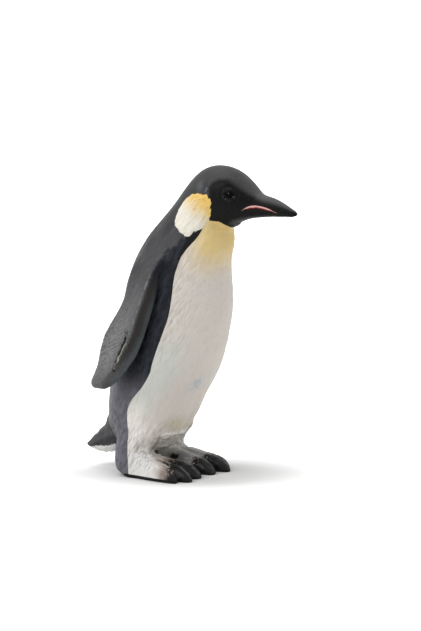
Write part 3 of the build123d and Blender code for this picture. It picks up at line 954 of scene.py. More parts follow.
@dataclass
class Head:
    """The head and bill, sawn off square to the neck."""

    seam_place: Spot = (4.81, 72.13)
    seam_tilt: float = 52.0
    block: float = 60.0
    bill_half: float = 0.6
    mouth_half: float = 0.3
    lip_drop: float = 0.36
    nick: tuple[Point, Point] = ((8.2, -7.2, 79.0), (8.6, -6.95, 80.1))
    nick_half: float = 0.25
    mouth_grain: Brush = Brush(1.3, 1.3, 0.0, 36)
    glint_ring: float = 1.3
    glint_width: float = 0.45
    glint_below: Spot = (-0.2, 0.4)
    bill_sheen_facing: Spot = (0.45, 0.95)
    bill_sheen_front: Spot = (18.0, 22.0)
    smear: Dab = Dab((6.1, -6.7, 80.3), (1.0, 1.5, 1.6))

    def build(self, whole: bpy.types.Object) -> bpy.types.Object:
        """Saw the head off the clay.

        Args:
            whole: The clay.

        Returns:
            The head.
        """
        tilt = math.radians(self.seam_tilt)
        middle = (
            (self.seam_place[0] + math.cos(tilt) * self.block / 2) * MM,
            0.0,
            (self.seam_place[1] + math.sin(tilt) * self.block / 2) * MM,
        )
        turn = (0, math.pi / 2 - tilt, 0)
        bpy.ops.object.select_all(action="DESELECT")
        bpy.ops.mesh.primitive_cube_add(size=self.block * MM, location=middle, rotation=turn)
        cutter = bpy.context.active_object
        bpy.ops.object.transform_apply(location=True, rotation=True, scale=True)
        return take_off(whole, cutter, "head_moulding")

    def dress(self, piece: bpy.types.Object) -> None:
        """Mark the face's colours, the bill's painted sheen and the lids' painted glints on the head, and
        paint it.
        """
        clay = Clay(piece)
        mark_plumage(clay)
        seen = side_view(clay.points)
        sides = np.abs(clay.points[:, 1]) > self.bill_half
        clay.mark("face", outline_depth(seen, FACE_OUTLINE))
        clay.mark("chin", chin_height(clay.points))
        gap, along = path_distance(seen, MOUTH_LINE)
        half = self.mouth_half * taper(along)
        half = half * (0.85 + 0.35 * self.mouth_grain.stroke(clay.points))
        clay.mark("mouth", np.where(sides, half - gap, -1))
        gap, _ = path_distance(seen, np.asarray(MOUTH_LINE) - (0.0, self.lip_drop))
        clay.mark("lip", np.where(sides, 0.8 * half - gap, -1))
        gap, _ = path_distance(both_sides(clay.points), self.nick)
        clay.mark("nick", self.nick_half - gap)
        # Painted glints on the lower lids round the eye
        below = both_sides(clay.points) - Bird.eye
        reach = np.linalg.norm(below, axis=1)
        clay.mark("lid_glints", bell(reach - self.glint_ring, self.glint_width) * ease(-below[:, 2], *self.glint_below))
        # Painted sheen on the upward-facing top of the bill
        front = ease(clay.points[:, 0], *self.bill_sheen_front)
        clay.mark("upper", ease(clay.normals[:, 2], *self.bill_sheen_facing) * front)
        clay.mark("smear", clay.near(self.smear))
        hand_in(piece, "head", HeadPaint().mix())


def mark_plumage(clay: Clay) -> None:
    """Mark what the feathered pieces share: relief, ear patch, throat and the line down the neck."""
    seen = side_view(clay.points)
    clay.mark("relief", plumage(clay.points))
    clay.mark("ear", outline_depth(seen, EAR_OUTLINE))
    clay.mark("ear_fade", (seen - EAR_FOOT) @ np.array(EAR_AXIS))
    clay.mark("ahead", ahead_of(clay.points, RIDGE_LINE))
    deep = ease(clay.points[:, 2], *THROAT_HEIGHT)
    clay.mark("throat", deep * (0.15 + 0.85 * ease(clay.points[:, 0], *THROAT_FRONT)))


@dataclass(frozen=True)
class LegMarks:
    """What the legs and the boots share: their white, their combed strands, their folds, and painted
    highlights and painted shade.
    """

    leg_highlight_top: Spot = (16.0, 24.0)
    leg_highlight_front: Spot = (2.0, 6.5)
    boot_top: Spot = (5.5, 9.5)
    leg_span: Span = ((1.5, 4.0), (9.0, 17.0))
    flank_width: float = 6.0
    flank_span: Span = ((26.0, 42.0), (58.0, 66.0))
    comb_span: Span = ((1.5, 5.0), (10.0, 17.0))
    comb_front: Spot = (4.0, 8.0)
    lip_highlight_width: float = 0.42
    tuck_shade_width: float = 0.5
    tuck_shade_share: float = 0.8
    fold_width: float = 0.3
    fold_facing: Spot = (0.0, 0.4)
    fold_sway: float = 0.25
    fold_grain: Brush = Brush(1.1, 1.1, 0.0, 44)
    # A painted shadow: black in the gap between the feet
    hollow: Dab = Dab((-8.4, -3.0, 3.9), (1.8, 1.4, 1.0))
    hollow_sway: float = 0.3
    hollow_grain: Brush = Brush(0.8, 0.8, 0.0, 45)

    def draw(self, clay: Clay) -> None:
        """Mark all of it on one piece."""
        ahead, height = ahead_of(clay.points, PARTING_LINE), clay.points[:, 2]
        # Painted highlight on the lower legs beside the parting line, where the light falls
        clay.mark("leg_highlight", (1 - ease(height, *self.leg_highlight_top)) * (1 - ease(ahead, *self.leg_highlight_front)))
        clay.mark("boot", 1 - ease(height, *self.boot_top))
        clay.mark("leg", band(height, *self.leg_span))
        edge = bell(ahead, self.flank_width) * band(height, *self.flank_span)
        low = band(height, *self.comb_span) * (1 - ease(ahead, *self.comb_front))
        clay.mark("combed", np.maximum(edge, low))
        right = right_half(clay.points)
        gap, _ = path_distance(both_sides(clay.points), BELLY_LIP)
        # Painted highlight along the raised lip under the belly
        clay.mark("lip_highlight", right * bell(gap, self.lip_highlight_width))
        # Painted shade in the groove under the lip and along the dark fold lines
        gap, _ = path_distance(both_sides(clay.points), BELLY_TUCK)
        tuck_shade = self.tuck_shade_share * right * bell(gap, self.tuck_shade_width)
        clay.mark("tuck_shade", np.maximum(tuck_shade, self.folds(clay, SHADED_FOLD_LINES)))
        # Painted highlights on the crests of the folds
        clay.mark("pale", self.folds(clay, HIGHLIT_FOLD_LINES))
        # Painted shadow in the gap between the feet
        ragged = self.hollow_sway * self.hollow_grain.stroke(clay.points)
        clay.mark("hollow", clay.near(self.hollow) + ragged)

    def folds(self, clay: Clay, lines: Sequence[Sequence[Spot]]) -> np.ndarray:
        """Draw fold lines for painted shade and painted highlights on the skin that faces forwards and
        outwards.

        Args:
            clay: The piece they are drawn on.
            lines: The folds, as the camera sees them.

        Returns:
            How strongly they show at each point.
        """
        seen = quarter_view(both_sides(clay.points))
        seen = seen + self.fold_sway * self.fold_grain.stroke(clay.points)[:, None]
        outward = np.sign(clay.points[:, 1]) * clay.normals[:, 1]
        facing = ease(clay.normals[:, 0] + outward, *self.fold_facing)
        drawn = np.zeros(len(seen))
        for line in lines:
            gap, along = path_distance(seen, line)
            drawn = np.maximum(drawn, facing * taper(along) * bell(gap, self.fold_width))
        return drawn


@dataclass
class Body:
    """The body: a white front shell and a dark back shell, parted along the paint line."""

    reach: float = 45.0
    top: float = 80.0
    half_width: float = 25.0
    curve_steps: int = 5
    blue_patch: Dab = Dab((3.3, -3.9, 25.8), (1.9, 2.0, 2.9))
    straw_patch: Dab = Dab((-3.0, -3.4, 14.2), (2.0, 3.0, 2.2))
    wedge_half: Spot = (1.1, 0.6)
    recess_shade_top: Spot = (9.4, 11.4)
    cool_span: Span = ((14.0, 22.0), (34.0, 42.0))
    cool_front: Spot = (3.0, 10.0)
    rump_back: Spot = (18.0, 21.5)
    rump_top: Spot = (12.0, 18.0)

    def build(self, whole: bpy.types.Object) -> tuple[bpy.types.Object, bpy.types.Object]:
        """Part the clay along the flank.

        Args:
            whole: The clay without head, limbs and tail. It becomes the back shell.

        Returns:
            The front shell and the back shell.
        """
        outline = smooth_path(PARTING_LINE, self.curve_steps)
        outline += [(outline[-1][0], self.top), (self.reach, self.top), (self.reach, outline[0][1])]
        bpy.ops.object.select_all(action="DESELECT")
        upright = (math.pi / 2, 0, 0)
        bpy.ops.mesh.primitive_circle_add(vertices=len(outline), fill_type="NGON", rotation=upright)
        cutter = bpy.context.active_object
        bpy.ops.object.transform_apply(location=True, rotation=True, scale=True)
        for vertex, (x, z) in zip(cutter.data.vertices, outline):
            vertex.co = (x * MM, -self.half_width * MM, z * MM)
        bpy.ops.object.mode_set(mode="EDIT")
        bpy.ops.mesh.select_all(action="SELECT")
        through = (0, 2 * self.half_width * MM, 0)
        bpy.ops.mesh.extrude_region_move(TRANSFORM_OT_translate={"value": through})
        bpy.ops.mesh.select_all(action="SELECT")
        bpy.ops.mesh.normals_make_consistent(inside=False)
        bpy.ops.mesh.quads_convert_to_tris()
        bpy.ops.object.mode_set(mode="OBJECT")
        front = take_off(whole, cutter, "body_front_shell")
        whole.name = "body_back_shell"
        return front, whole

    def dress_front(self, piece: bpy.types.Object) -> None:
        """Mark the tints, the painted highlights, the painted shade and the painted shadow on the white
        shell, and paint it.
        """
        clay = Clay(piece)
        mark_plumage(clay)
        LegMarks().draw(clay)
        clay.mark("blue", clay.near(self.blue_patch) * (clay.points[:, 1] < 0))
        clay.mark("straw", clay.near(self.straw_patch))
        ahead, height = ahead_of(clay.points, PARTING_LINE), clay.points[:, 2]
        # Painted shade in the recess between the legs
        clay.mark("under", (1 - ease(height, *self.recess_shade_top)) * between_legs(clay.points))
        clay.mark("cool", band(height, *self.cool_span) * (1 - ease(ahead, *self.cool_front)))
        hand_in(piece, "body_front", FrontPaint().mix())

    def dress_back(self, piece: bpy.types.Object) -> None:
        """Mark the wedge and the rump on the dark shell and paint it."""
        clay = Clay(piece)
        mark_plumage(clay)
        gap, along = path_distance(side_view(clay.points), WEDGE_LINE)
        wide, narrow = self.wedge_half
        clay.mark("wedge", wide - (wide - narrow) * along - gap)
        height = clay.points[:, 2]
        clay.mark("height", height)
        behind = ease(-clay.points[:, 0], *self.rump_back)
        clay.mark("rump", behind * (1 - ease(height, *self.rump_top)))
        hand_in(piece, "body_back", BackPaint().mix())


@dataclass
class Flipper:
    """One flipper, with its shoulder and peg."""

    side: Side
    spare: float = 0.2
    saw_voxel: float = 0.3
    edge: float = 0.3
    edge_width: float = 0.45
    edge_span: Span = ((0.0, 0.12), (0.75, 0.95))
    outer_facing: Spot = (-0.1, 0.3)
    groove_ahead: float = 1.3
    groove_width: float = 0.7
    groove_reach: float = 3.0
    groove_share: float = 0.6
    front: float = 0.8
    front_edge: Spot = (0.8, 3.5)
    front_span: Span = ((29.0, 36.0), (54.0, 60.0))
    wrinkle: float = 0.13
    wrinkle_middle: float = 37.0
    wrinkle_spread: float = 6.0
    creases: Brush = Brush(0.5, 2.4, 66.0, 11, 4.0)
    flash_height: float = 0.22
    crack_depth: float = 0.3
    pit_depth: float = 0.5
    pit_radius: float = 0.5
    ridge: tuple[Point, ...] = (
        (-3.8, -13.1, 59.9), (-4.1, -15.6, 55.8), (-5.2, -17.3, 50.7), (-8.1, -18.7, 40.8),
        (-10.4, -19.2, 35.8), (-13.7, -19.5, 30.6), (-16.0, -19.4, 28.2),
    )
    flash: tuple[Spot, ...] = ((-8.6, 40.6), (-9.3, 37.9), (-10.4, 36.2), (-11.6, 33.4), (-13.2, 30.2))

    def build(self, whole: bpy.types.Object) -> bpy.types.Object:
        """Saw the flipper off the clay and sculpt its edge, wrinkles and flash line.

        Args:
            whole: The clay.

        Returns:
            The flipper.
        """
        cutter = cast_copy("flipper_saw", [self.side.node("flipper")], self.saw_voxel)
        apply_modifier(cutter, "DISPLACE", strength=self.spare * MM, mid_level=0.0)
        piece = take_off(whole, cutter, self.side.node("flipper_moulding"))
        clay = Clay(piece)
        outer = ease(clay.normals[:, 1] * self.side.value, *self.outer_facing)
        gap, along = path_distance(both_sides(clay.points), self.ridge)
        groove = bell(ahead_of(clay.points, RIDGE_LINE) - self.groove_ahead, self.groove_width)
        groove = groove * (gap < self.groove_reach)
        crisp = np.exp(-gap / self.edge_width) - self.groove_share * groove
        clay.raise_by(self.edge * crisp * band(along, *self.edge_span))
        span = band(clay.points[:, 2], *self.front_span)
        ahead = ease(ahead_of(clay.points, RIDGE_LINE), *self.front_edge)
        clay.points[:, 0] += self.front * span * ahead
        clay.raise_by(self.wrinkle * self.wrinkles(both_sides(clay.points)) * outer)
        line, crack, pit = self.marks(clay)
        flaws = self.flash_height * ease(line, 0.0, 0.25) - self.crack_depth * ease(crack, 0.0, 0.3)
        clay.raise_by(flaws - self.pit_depth * ease(pit, 0.0, 0.5))
        clay.settle()
        return piece

    def crinkled(self, points: np.ndarray) -> np.ndarray:
        """Tell where the lower flipper is wrinkled, behind its ridge."""
        around = bell(points[:, 2] - self.wrinkle_middle, self.wrinkle_spread)
        return around * ease(-ahead_of(points, RIDGE_LINE), -0.4, 0.6)

    def wrinkles(self, points: np.ndarray) -> np.ndarray:
        """Give the fine wrinkles of the lower flipper."""
        lines = self.creases.stroke(points) + 0.3 * grain(points / (0.6, 0.6, 0.45), 12)
        return self.crinkled(points) * lines

    def outside(self, clay: Clay) -> np.ndarray:
        """Tell which points face away from the body."""
        return clay.normals[:, 1] * self.side.value > -0.2

    def marks(self, clay: Clay) -> tuple[np.ndarray, np.ndarray, np.ndarray]:
        """Find the flash line, the crack beside it and the pit at its end.

        Args:
            clay: The flipper.

        Returns:
            How deep each point lies inside each of the three.
        """
        folded = both_sides(clay.points)
        seen = side_view(folded) + 0.36 * grain(folded / 1.1, 15)[:, None] * np.array((1.0, 0.3))
        outside = self.outside(clay)
        gap, along = path_distance(seen, self.flash)
        broken = 0.2 * np.sin(np.pi * along) + 0.16 * grain(folded / 0.9, 14)
        line = np.where(outside, broken - gap, -1)
        gap, along = path_distance(seen, np.array(self.flash) + (-0.5, 0.1))
        wide = (0.66 - 0.45 * along) * taper(along) + 0.22 * grain(folded / 0.7, 16)
        crack = np.where(outside, wide - gap, -1)
        pit = np.where(outside, self.pit_radius - np.linalg.norm(seen - self.flash[-1], axis=1), -1)
        return line, crack, pit

    def dress(self, piece: bpy.types.Object) -> None:
        """Mark the dark leading edge and the flash line, and paint the flipper."""
        clay = Clay(piece)
        mark_plumage(clay)
        line, crack, pit = self.marks(clay)
        gap, along = path_distance(side_view(clay.points), np.array(self.flash) + (-0.7, 0.2))
        scuff = bell(gap, 1.0) * (1 - ease(along, 0.3, 0.8))
        clay.mark("scuff", np.where(self.outside(clay), scuff, 0))
        clay.mark("flash", line)
        clay.mark("crack", np.maximum(crack, pit))
        clay.mark("crinkled", self.crinkled(clay.points))
        clay.mark("height", clay.points[:, 2])
        hand_in(piece, self.side.node("flipper"), FlipperPaint().mix())


@dataclass
class Tail:
    """The short wedge tail, dark above and white below."""

    spare: float = 0.2
    saw_voxel: float = 0.3
    groove: float = 0.22
    fringe: float = 0.8
    free_span: Spot = (21.5, 24.0)
    tip_span: Spot = (29.0, 32.5)
    under_facing: Spot = (-0.1, 0.7)
    feathers: Brush = Brush(0.9, 7.0, 62.0, 8)
    white_edge: tuple[Spot, ...] = ((-31.0, 5.6), (-28.0, 6.1), (-25.0, 6.35), (-22.5, 7.1))

    def build(self, whole: bpy.types.Object) -> bpy.types.Object:
        """Saw the tail off the clay and comb its feathers.

        Args:
            whole: The clay.

        Returns:
            The tail.
        """
        cutter = cast_copy("tail_saw", ["tail"], self.saw_voxel)
        apply_modifier(cutter, "DISPLACE", strength=self.spare * MM, mid_level=0.0)
        piece = take_off(whole, cutter, "tail_moulding")
        clay = Clay(piece)
        free = ease(-clay.points[:, 0], *self.free_span)
        clay.raise_by(self.groove * free * self.comb(clay.points))
        tip = 1 - ease(-clay.points[:, 0], *self.tip_span)
        below = ease(-clay.normals[:, 2], *self.under_facing) * free * tip
        clay.points[:, 2] -= self.fringe * below * (0.7 + 0.5 * self.comb(clay.points))
        clay.settle()
        return piece

    def comb(self, points: np.ndarray) -> np.ndarray:
        """Give the lie of the tail's feathers."""
        return self.feathers.stroke(points)

    def dress(self, piece: bpy.types.Object) -> None:
        """Mark the white underside and paint the tail."""
        clay = Clay(piece)
        clay.mark("relief", self.comb(clay.points))
        line = np.interp(clay.points[:, 0], *zip(*self.white_edge))
        clay.mark("belly", line - clay.points[:, 2])
        hand_in(piece, "tail", TailPaint().mix())


@dataclass
class Foot:
    """One foot: sole, instep and three toes."""

    side: Side
    inner_reach: float
    shade_reach: float
    instep: Paint
    blush: Paint
    outer_reach: float = 0.2
    outer_span: Spot = (8.5, 12.5)
    spare: float = 0.2
    saw_voxel: float = 0.3
    wrinkle: float = 0.1
    skin_top: Spot = (0.9, 1.6)
    skin_back: Spot = (-8.0, -3.0)
    instep_top: Spot = (1.8, 4.0)
    instep_drop: float = 0.3
    recess_shade_front: Spot = (-4.0, -1.0)
    speck_top: Spot = (2.0, 3.0)

    def build(self, whole: bpy.types.Object) -> bpy.types.Object:
        """Saw the foot off the clay and roughen its skin.

        Args:
            whole: The clay.

        Returns:
            The foot.
        """
        cutter = cast_copy("foot_saw", [self.side.node("foot")], self.saw_voxel)
        apply_modifier(cutter, "DISPLACE", strength=self.spare * MM, mid_level=0.0)
        piece = take_off(whole, cutter, self.side.node("foot_moulding"))
        clay = Clay(piece)
        points = clay.points
        top = ease(points[:, 2], *self.skin_top) * ease(points[:, 0], *self.skin_back)
        lumps = grain(points / (1.3, 0.9, 1.1), 21) + 0.6 * grain(points / (0.6, 0.5, 0.6), 22)
        clay.raise_by(self.wrinkle * top * lumps)
        clay.settle()
        return piece

    def dress(self, piece: bpy.types.Object) -> None:
        """Mark how far the white of the leg runs onto the foot and where painted shade lies on it, and
        paint it.
        """
        clay = Clay(piece)
        mark_plumage(clay)
        LegMarks().draw(clay)
        points = both_sides(clay.points)
        outer = ease(-points[:, 1], *self.outer_span)
        top = ease(points[:, 2], *self.instep_top)
        reach = self.inner_reach + (self.outer_reach - self.inner_reach) * outer
        clay.mark("toes", points[:, 0] - reach + self.instep_drop * top)
        clay.mark("outer", outer)
        # Painted shade: on the far foot the shaded greys start further back on its inner side
        clay.mark("far_shade_shift", self.shade_reach * (1 - outer))
        clay.mark("sole", points[:, 2] - heel_lift(points))
        # Painted shade on the feet between the legs
        clay.mark("under", between_legs(clay.points) * (1 - ease(points[:, 0], *self.recess_shade_front)))
        clay.mark("specks", ease(points[:, 2], *self.speck_top))
        clay.mark("heel", PARTING_LINE[1][0] - points[:, 0])
        paint = FootPaint(self.side.node("foot_paint"), self.instep, self.blush)
        hand_in(piece, self.side.node("foot"), paint.mix())


# Finishes

BROAD_WHITE = Speckle((3.5, 3.5, 9.0), 2.0, 15.0)
WHITE_MOTTLE = Speckle((1.1, 1.1, 1.6), 3.0)
COMBED_STRANDS = Speckle((0.3, 2.0, 2.8), 1.0, 27.0)
EAR_TUFT = Speckle((0.7, 0.7, 2.4), 2.0, 38.0)
EAR_FURROW = Speckle((0.35, 0.35, 1.6), 3.0, 48.0)
BROAD_CHARCOAL = Speckle((4.0, 4.0, 12.0), 2.0, 15.0)


def white_plumage(coat: Coat, fine: bpy.types.NodeSocket) -> bpy.types.NodeSocket:
    """Mix the warm white of the breast, with a grey wash in the feathers, a yellow throat, and painted
    highlights and painted shade low on the legs.

    Args:
        coat: The coat it is mixed for.
        fine: Fine noise along the feathers.

    Returns:
        The colour.
    """
    broad = coat.speckle(BROAD_WHITE)
    colour = coat.over(coat.rise(broad, 0.4, 0.7, 0.0, 0.2), Paint.WARM_WHITE, Paint.COLD_WHITE)
    colour = coat.over(coat.times(coat.field("cool"), 0.9), colour, Paint.COOL_WHITE)
    # Painted highlight on the lower legs
    colour = coat.over(coat.times(coat.field("leg_highlight"), 0.8), colour, Paint.HIGHLIGHT_WHITE)
    mottle = coat.speckle(WHITE_MOTTLE)
    boot = coat.times(coat.field("boot"), coat.rise(mottle, 0.35, 0.65, 0.95, 0.6))
    colour = coat.over(boot, colour, Paint.BOOT_WHITE)
    wash = coat.rise(coat.field("ahead"), 16.0, 6.0, 0.12, 0.32)
    hollow = coat.times(coat.rise(coat.field("relief"), 0.4, -0.7), wash)
    colour = coat.over(coat.times(hollow, coat.rise(fine, 0.3, 0.65)), colour, Paint.GREY_WASH)
    blue = coat.times(coat.field("blue"), coat.rise(mottle, 0.35, 0.65, 0.1, 0.75))
    colour = coat.over(blue, colour, Paint.PATCH_BLUE)
    streak = coat.times(coat.field("leg"), coat.rise(fine, 0.45, 0.62, 0.0, 0.6))
    colour = coat.over(streak, colour, Paint.LEG_GREY)
    colour = coat.over(coat.times(coat.field("straw"), 0.4), colour, Paint.STRAW)
    yellow = coat.times(coat.field("throat"), coat.rise(fine, 0.2, 0.6, 0.7, 1.0))
    colour = coat.over(yellow, colour, Paint.THROAT_YELLOW)
    # Painted shade in the recess between the legs
    deep = coat.times(coat.field("under"), coat.rise(fine, 0.3, 0.7, 0.95, 0.6))
    colour = coat.over(deep, colour, Paint.RECESS_SHADE_GREY)
    # Painted shade in the groove under the belly lip and in the fold creases
    colour = coat.over(coat.times(coat.field("tuck_shade"), 0.75), colour, Paint.FOLD_SHADE_BROWN)
    # Painted highlights on the fold crests
    colour = coat.over(coat.times(coat.field("pale"), 0.7), colour, Paint.HIGHLIGHT_WHITE)
    # Painted highlight along the belly lip
    return coat.over(coat.times(coat.field("lip_highlight"), 0.9), colour, Paint.HIGHLIGHT_WHITE)


def strands(coat: Coat) -> tuple[bpy.types.NodeSocket, bpy.types.NodeSocket]:
    """Draw the fine strands of the combed feathers.

    Args:
        coat: The coat they are drawn for.

    Returns:
        The share of grey between the strands, and their height.
    """
    strand = coat.speckle(COMBED_STRANDS)
    grey = coat.times(coat.field("combed"), coat.rise(strand, 0.48, 0.36, 0.0, 0.42))
    height = coat.times(coat.field("combed"), coat.times(strand, 3.0))
    return grey, height


def ear_over(coat: Coat, colour: bpy.types.NodeSocket) -> bpy.types.NodeSocket:
    """Lay the ear patch over a coat, yellow at its top and cream below.

    Args:
        coat: The coat that is painted.
        colour: What lies under the patch.

    Returns:
        The colour with the patch on it.
    """
    tuft = coat.speckle(EAR_TUFT)
    fade = coat.plus(coat.field("ear_fade"), coat.sway(tuft, 7.0))
    patch = coat.over(coat.rise(fade, 3.0, 10.5), Paint.EAR_CREAM, Paint.EAR_YELLOW)
    furrow = coat.rise(coat.speckle(EAR_FURROW), 0.5, 0.66, 0.0, 0.65)
    furrow = coat.times(furrow, coat.rise(coat.field("ear"), 0.2, 1.0))
    patch = coat.over(coat.times(furrow, coat.rise(fade, 4.5, 9.5)), patch, Paint.EAR_OCHRE)
    depth = coat.plus(coat.field("ear"), coat.sway(tuft, 1.3))
    return coat.over(coat.rise(depth, -0.12, 0.12), colour, patch)


@dataclass(frozen=True)
class HeadPaint:
    """Matt black face and bill with a painted sheen on the bill's top and painted glints on the lower lids,
    charcoal crown, ear patch, pink mouth and yellow throat.
    """

    softness: float = 0.9
    fine: Speckle = Speckle((0.5, 0.5, 0.9), 3.0)
    broad: Speckle = Speckle((5.0, 5.0, 8.0), 2.0)
    lid_glint: Speckle = Speckle((0.5, 0.5, 0.4), 2.0)
    lash: Speckle = Speckle((0.35, 0.35, 2.2), 3.0, 18.0)
    depth: float = 0.08
    shine: Spot = (0.38, 0.55)
    gleam: float = 0.07

    def mix(self) -> bpy.types.Material:
        """Mix the head's paint."""
        coat = Coat("head_paint")
        fine = coat.speckle(self.fine)
        broad = coat.speckle(self.broad)
        colour = coat.over(coat.rise(broad, 0.45, 0.75, 0.0, 0.6), Paint.CROWN_GREY, Paint.CHARCOAL)
        colour = coat.over(coat.rise(fine, 0.55, 0.8, 0.0, 0.2), colour, Paint.DRY_GREY)
        colour = coat.over(coat.times(coat.field("smear"), 0.5), colour, Paint.DRY_GREY)
        edge = coat.plus(coat.field("face"), coat.times(fine, 0.6))
        black = coat.over(coat.rise(fine, 0.5, 0.75, 0.0, 0.4), Paint.FACE_BLACK, Paint.FACE_GREY)
        colour = coat.over(coat.rise(edge, -0.5, self.softness), colour, black)
        # Painted sheen on the top of the bill
        colour = coat.over(coat.times(coat.field("upper"), 0.95), colour, Paint.BILL_SHEEN)
        # Painted glints in specks on the lower lids
        lid_glint = coat.rise(coat.speckle(self.lid_glint), 0.55, 0.66, 0.0, 0.9)
        colour = coat.over(coat.times(coat.field("lid_glints"), lid_glint), colour, Paint.BILL_SHEEN)
        under = coat.plus(coat.field("chin"), coat.times(fine, 0.2))
        lash = coat.speckle(self.lash)
        colour = coat.over(coat.rise(under, 0.05, 0.2), white_plumage(coat, lash), colour)
        colour = ear_over(coat, colour)
        colour = coat.over(coat.rise(coat.field("nick"), 0.0, 0.2, 0.0, 0.5), colour, Paint.NICK_BLUE)
        colour = coat.over(coat.rise(coat.field("lip"), 0.0, 0.08), colour, Paint.LIP_RED)
        colour = coat.over(coat.rise(coat.field("mouth"), 0.0, 0.08), colour, Paint.MOUTH_PINK)
        return coat.finish(colour, fine, self.depth, self.shine, self.gleam)


@dataclass(frozen=True)
class FrontPaint:
    """Warm white breast and belly with a grey wash in the feathers, a yellow throat, and painted
    highlights, painted shade and a painted shadow low between the legs.
    """

    fine: Speckle = Speckle((0.35, 1.0, 2.2), 3.0, 24.0)
    depth: float = 0.06
    shine: Spot = (0.5, 0.68)
    gleam: float = 0.3

    def mix(self) -> bpy.types.Material:
        """Mix the front shell's paint."""
        coat = Coat("front_paint")
        fine = coat.speckle(self.fine)
        grey, strand = strands(coat)
        colour = coat.over(grey, white_plumage(coat, fine), Paint.LEG_GREY)
        # Painted shadow: black in the gap between the feet
        colour = coat.over(coat.rise(coat.field("hollow"), 0.3, 0.7), colour, Paint.TOE_BLACK)
        relief = coat.plus(fine, strand)
        return coat.finish(colour, relief, self.depth, self.shine, self.gleam, fine)


@dataclass(frozen=True)
class BackPaint:
    """Charcoal with dry-brushed highlights, navy black on the flanks that is partly painted shade, and a
    black wedge.
    """

    fine: Speckle = Speckle((0.4, 0.4, 1.6), 3.0, 15.0)
    mottle: Speckle = Speckle((0.9, 0.9, 2.2), 4.0, 30.0)
    sweep: Speckle = Speckle((1.5, 4.0, 9.0), 2.0, 14.0)
    depth: float = 0.05
    shine: Spot = (0.38, 0.56)
    gleam: float = 0.12

    def mix(self) -> bpy.types.Material:
        """Mix the back shell's paint."""
        coat = Coat("back_paint")
        fine = coat.speckle(self.fine)
        mottle = coat.speckle(self.mottle)
        rub = coat.rise(mottle, 0.3, 0.7, 0.4, 1.0)
        rub = coat.times(coat.rise(coat.field("height"), 35.0, 22.0), rub)
        rub = coat.times(coat.rise(coat.field("rump"), 1.0, 0.0), rub)
        colour = coat.over(rub, charcoal(coat), Paint.LILAC_GREY)
        # Navy black on the flank beside the flipper: partly its paint, partly painted shade
        ragged = coat.sway(mottle, 5.0)
        edge = coat.plus(coat.field("ahead"), ragged)
        flank = coat.times(coat.rise(edge, -1.3, 1.5), coat.rise(coat.field("height"), 20.0, 31.0))
        flank = coat.times(flank, coat.rise(mottle, 0.3, 0.6, 0.75, 1.0))
        sweep = coat.rise(coat.speckle(self.sweep), 0.48, 0.7, 0.0, 0.55)
        colour = coat.over(flank, colour, coat.over(sweep, Paint.NAVY_BLACK, Paint.SLATE_BLUE))
        ragged = coat.sway(fine, 0.8)
        wedge = coat.plus(coat.field("wedge"), ragged)
        colour = coat.over(coat.rise(wedge, -0.15, 0.15), colour, Paint.FACE_BLACK)
        colour = ear_over(coat, colour)
        return coat.finish(colour, fine, self.depth, self.shine, self.gleam)


def charcoal(coat: Coat) -> bpy.types.NodeSocket:
    """Mix the charcoal of the back, dry-brushed where the relief stands up."""
    broad = coat.speckle(BROAD_CHARCOAL)
    colour = coat.over(coat.rise(broad, 0.35, 0.7, 0.0, 0.22), Paint.CHARCOAL, Paint.DRY_GREY)
    return coat.over(coat.rise(coat.field("relief"), 0.2, 0.9, 0.0, 0.2), colour, Paint.DRY_GREY)


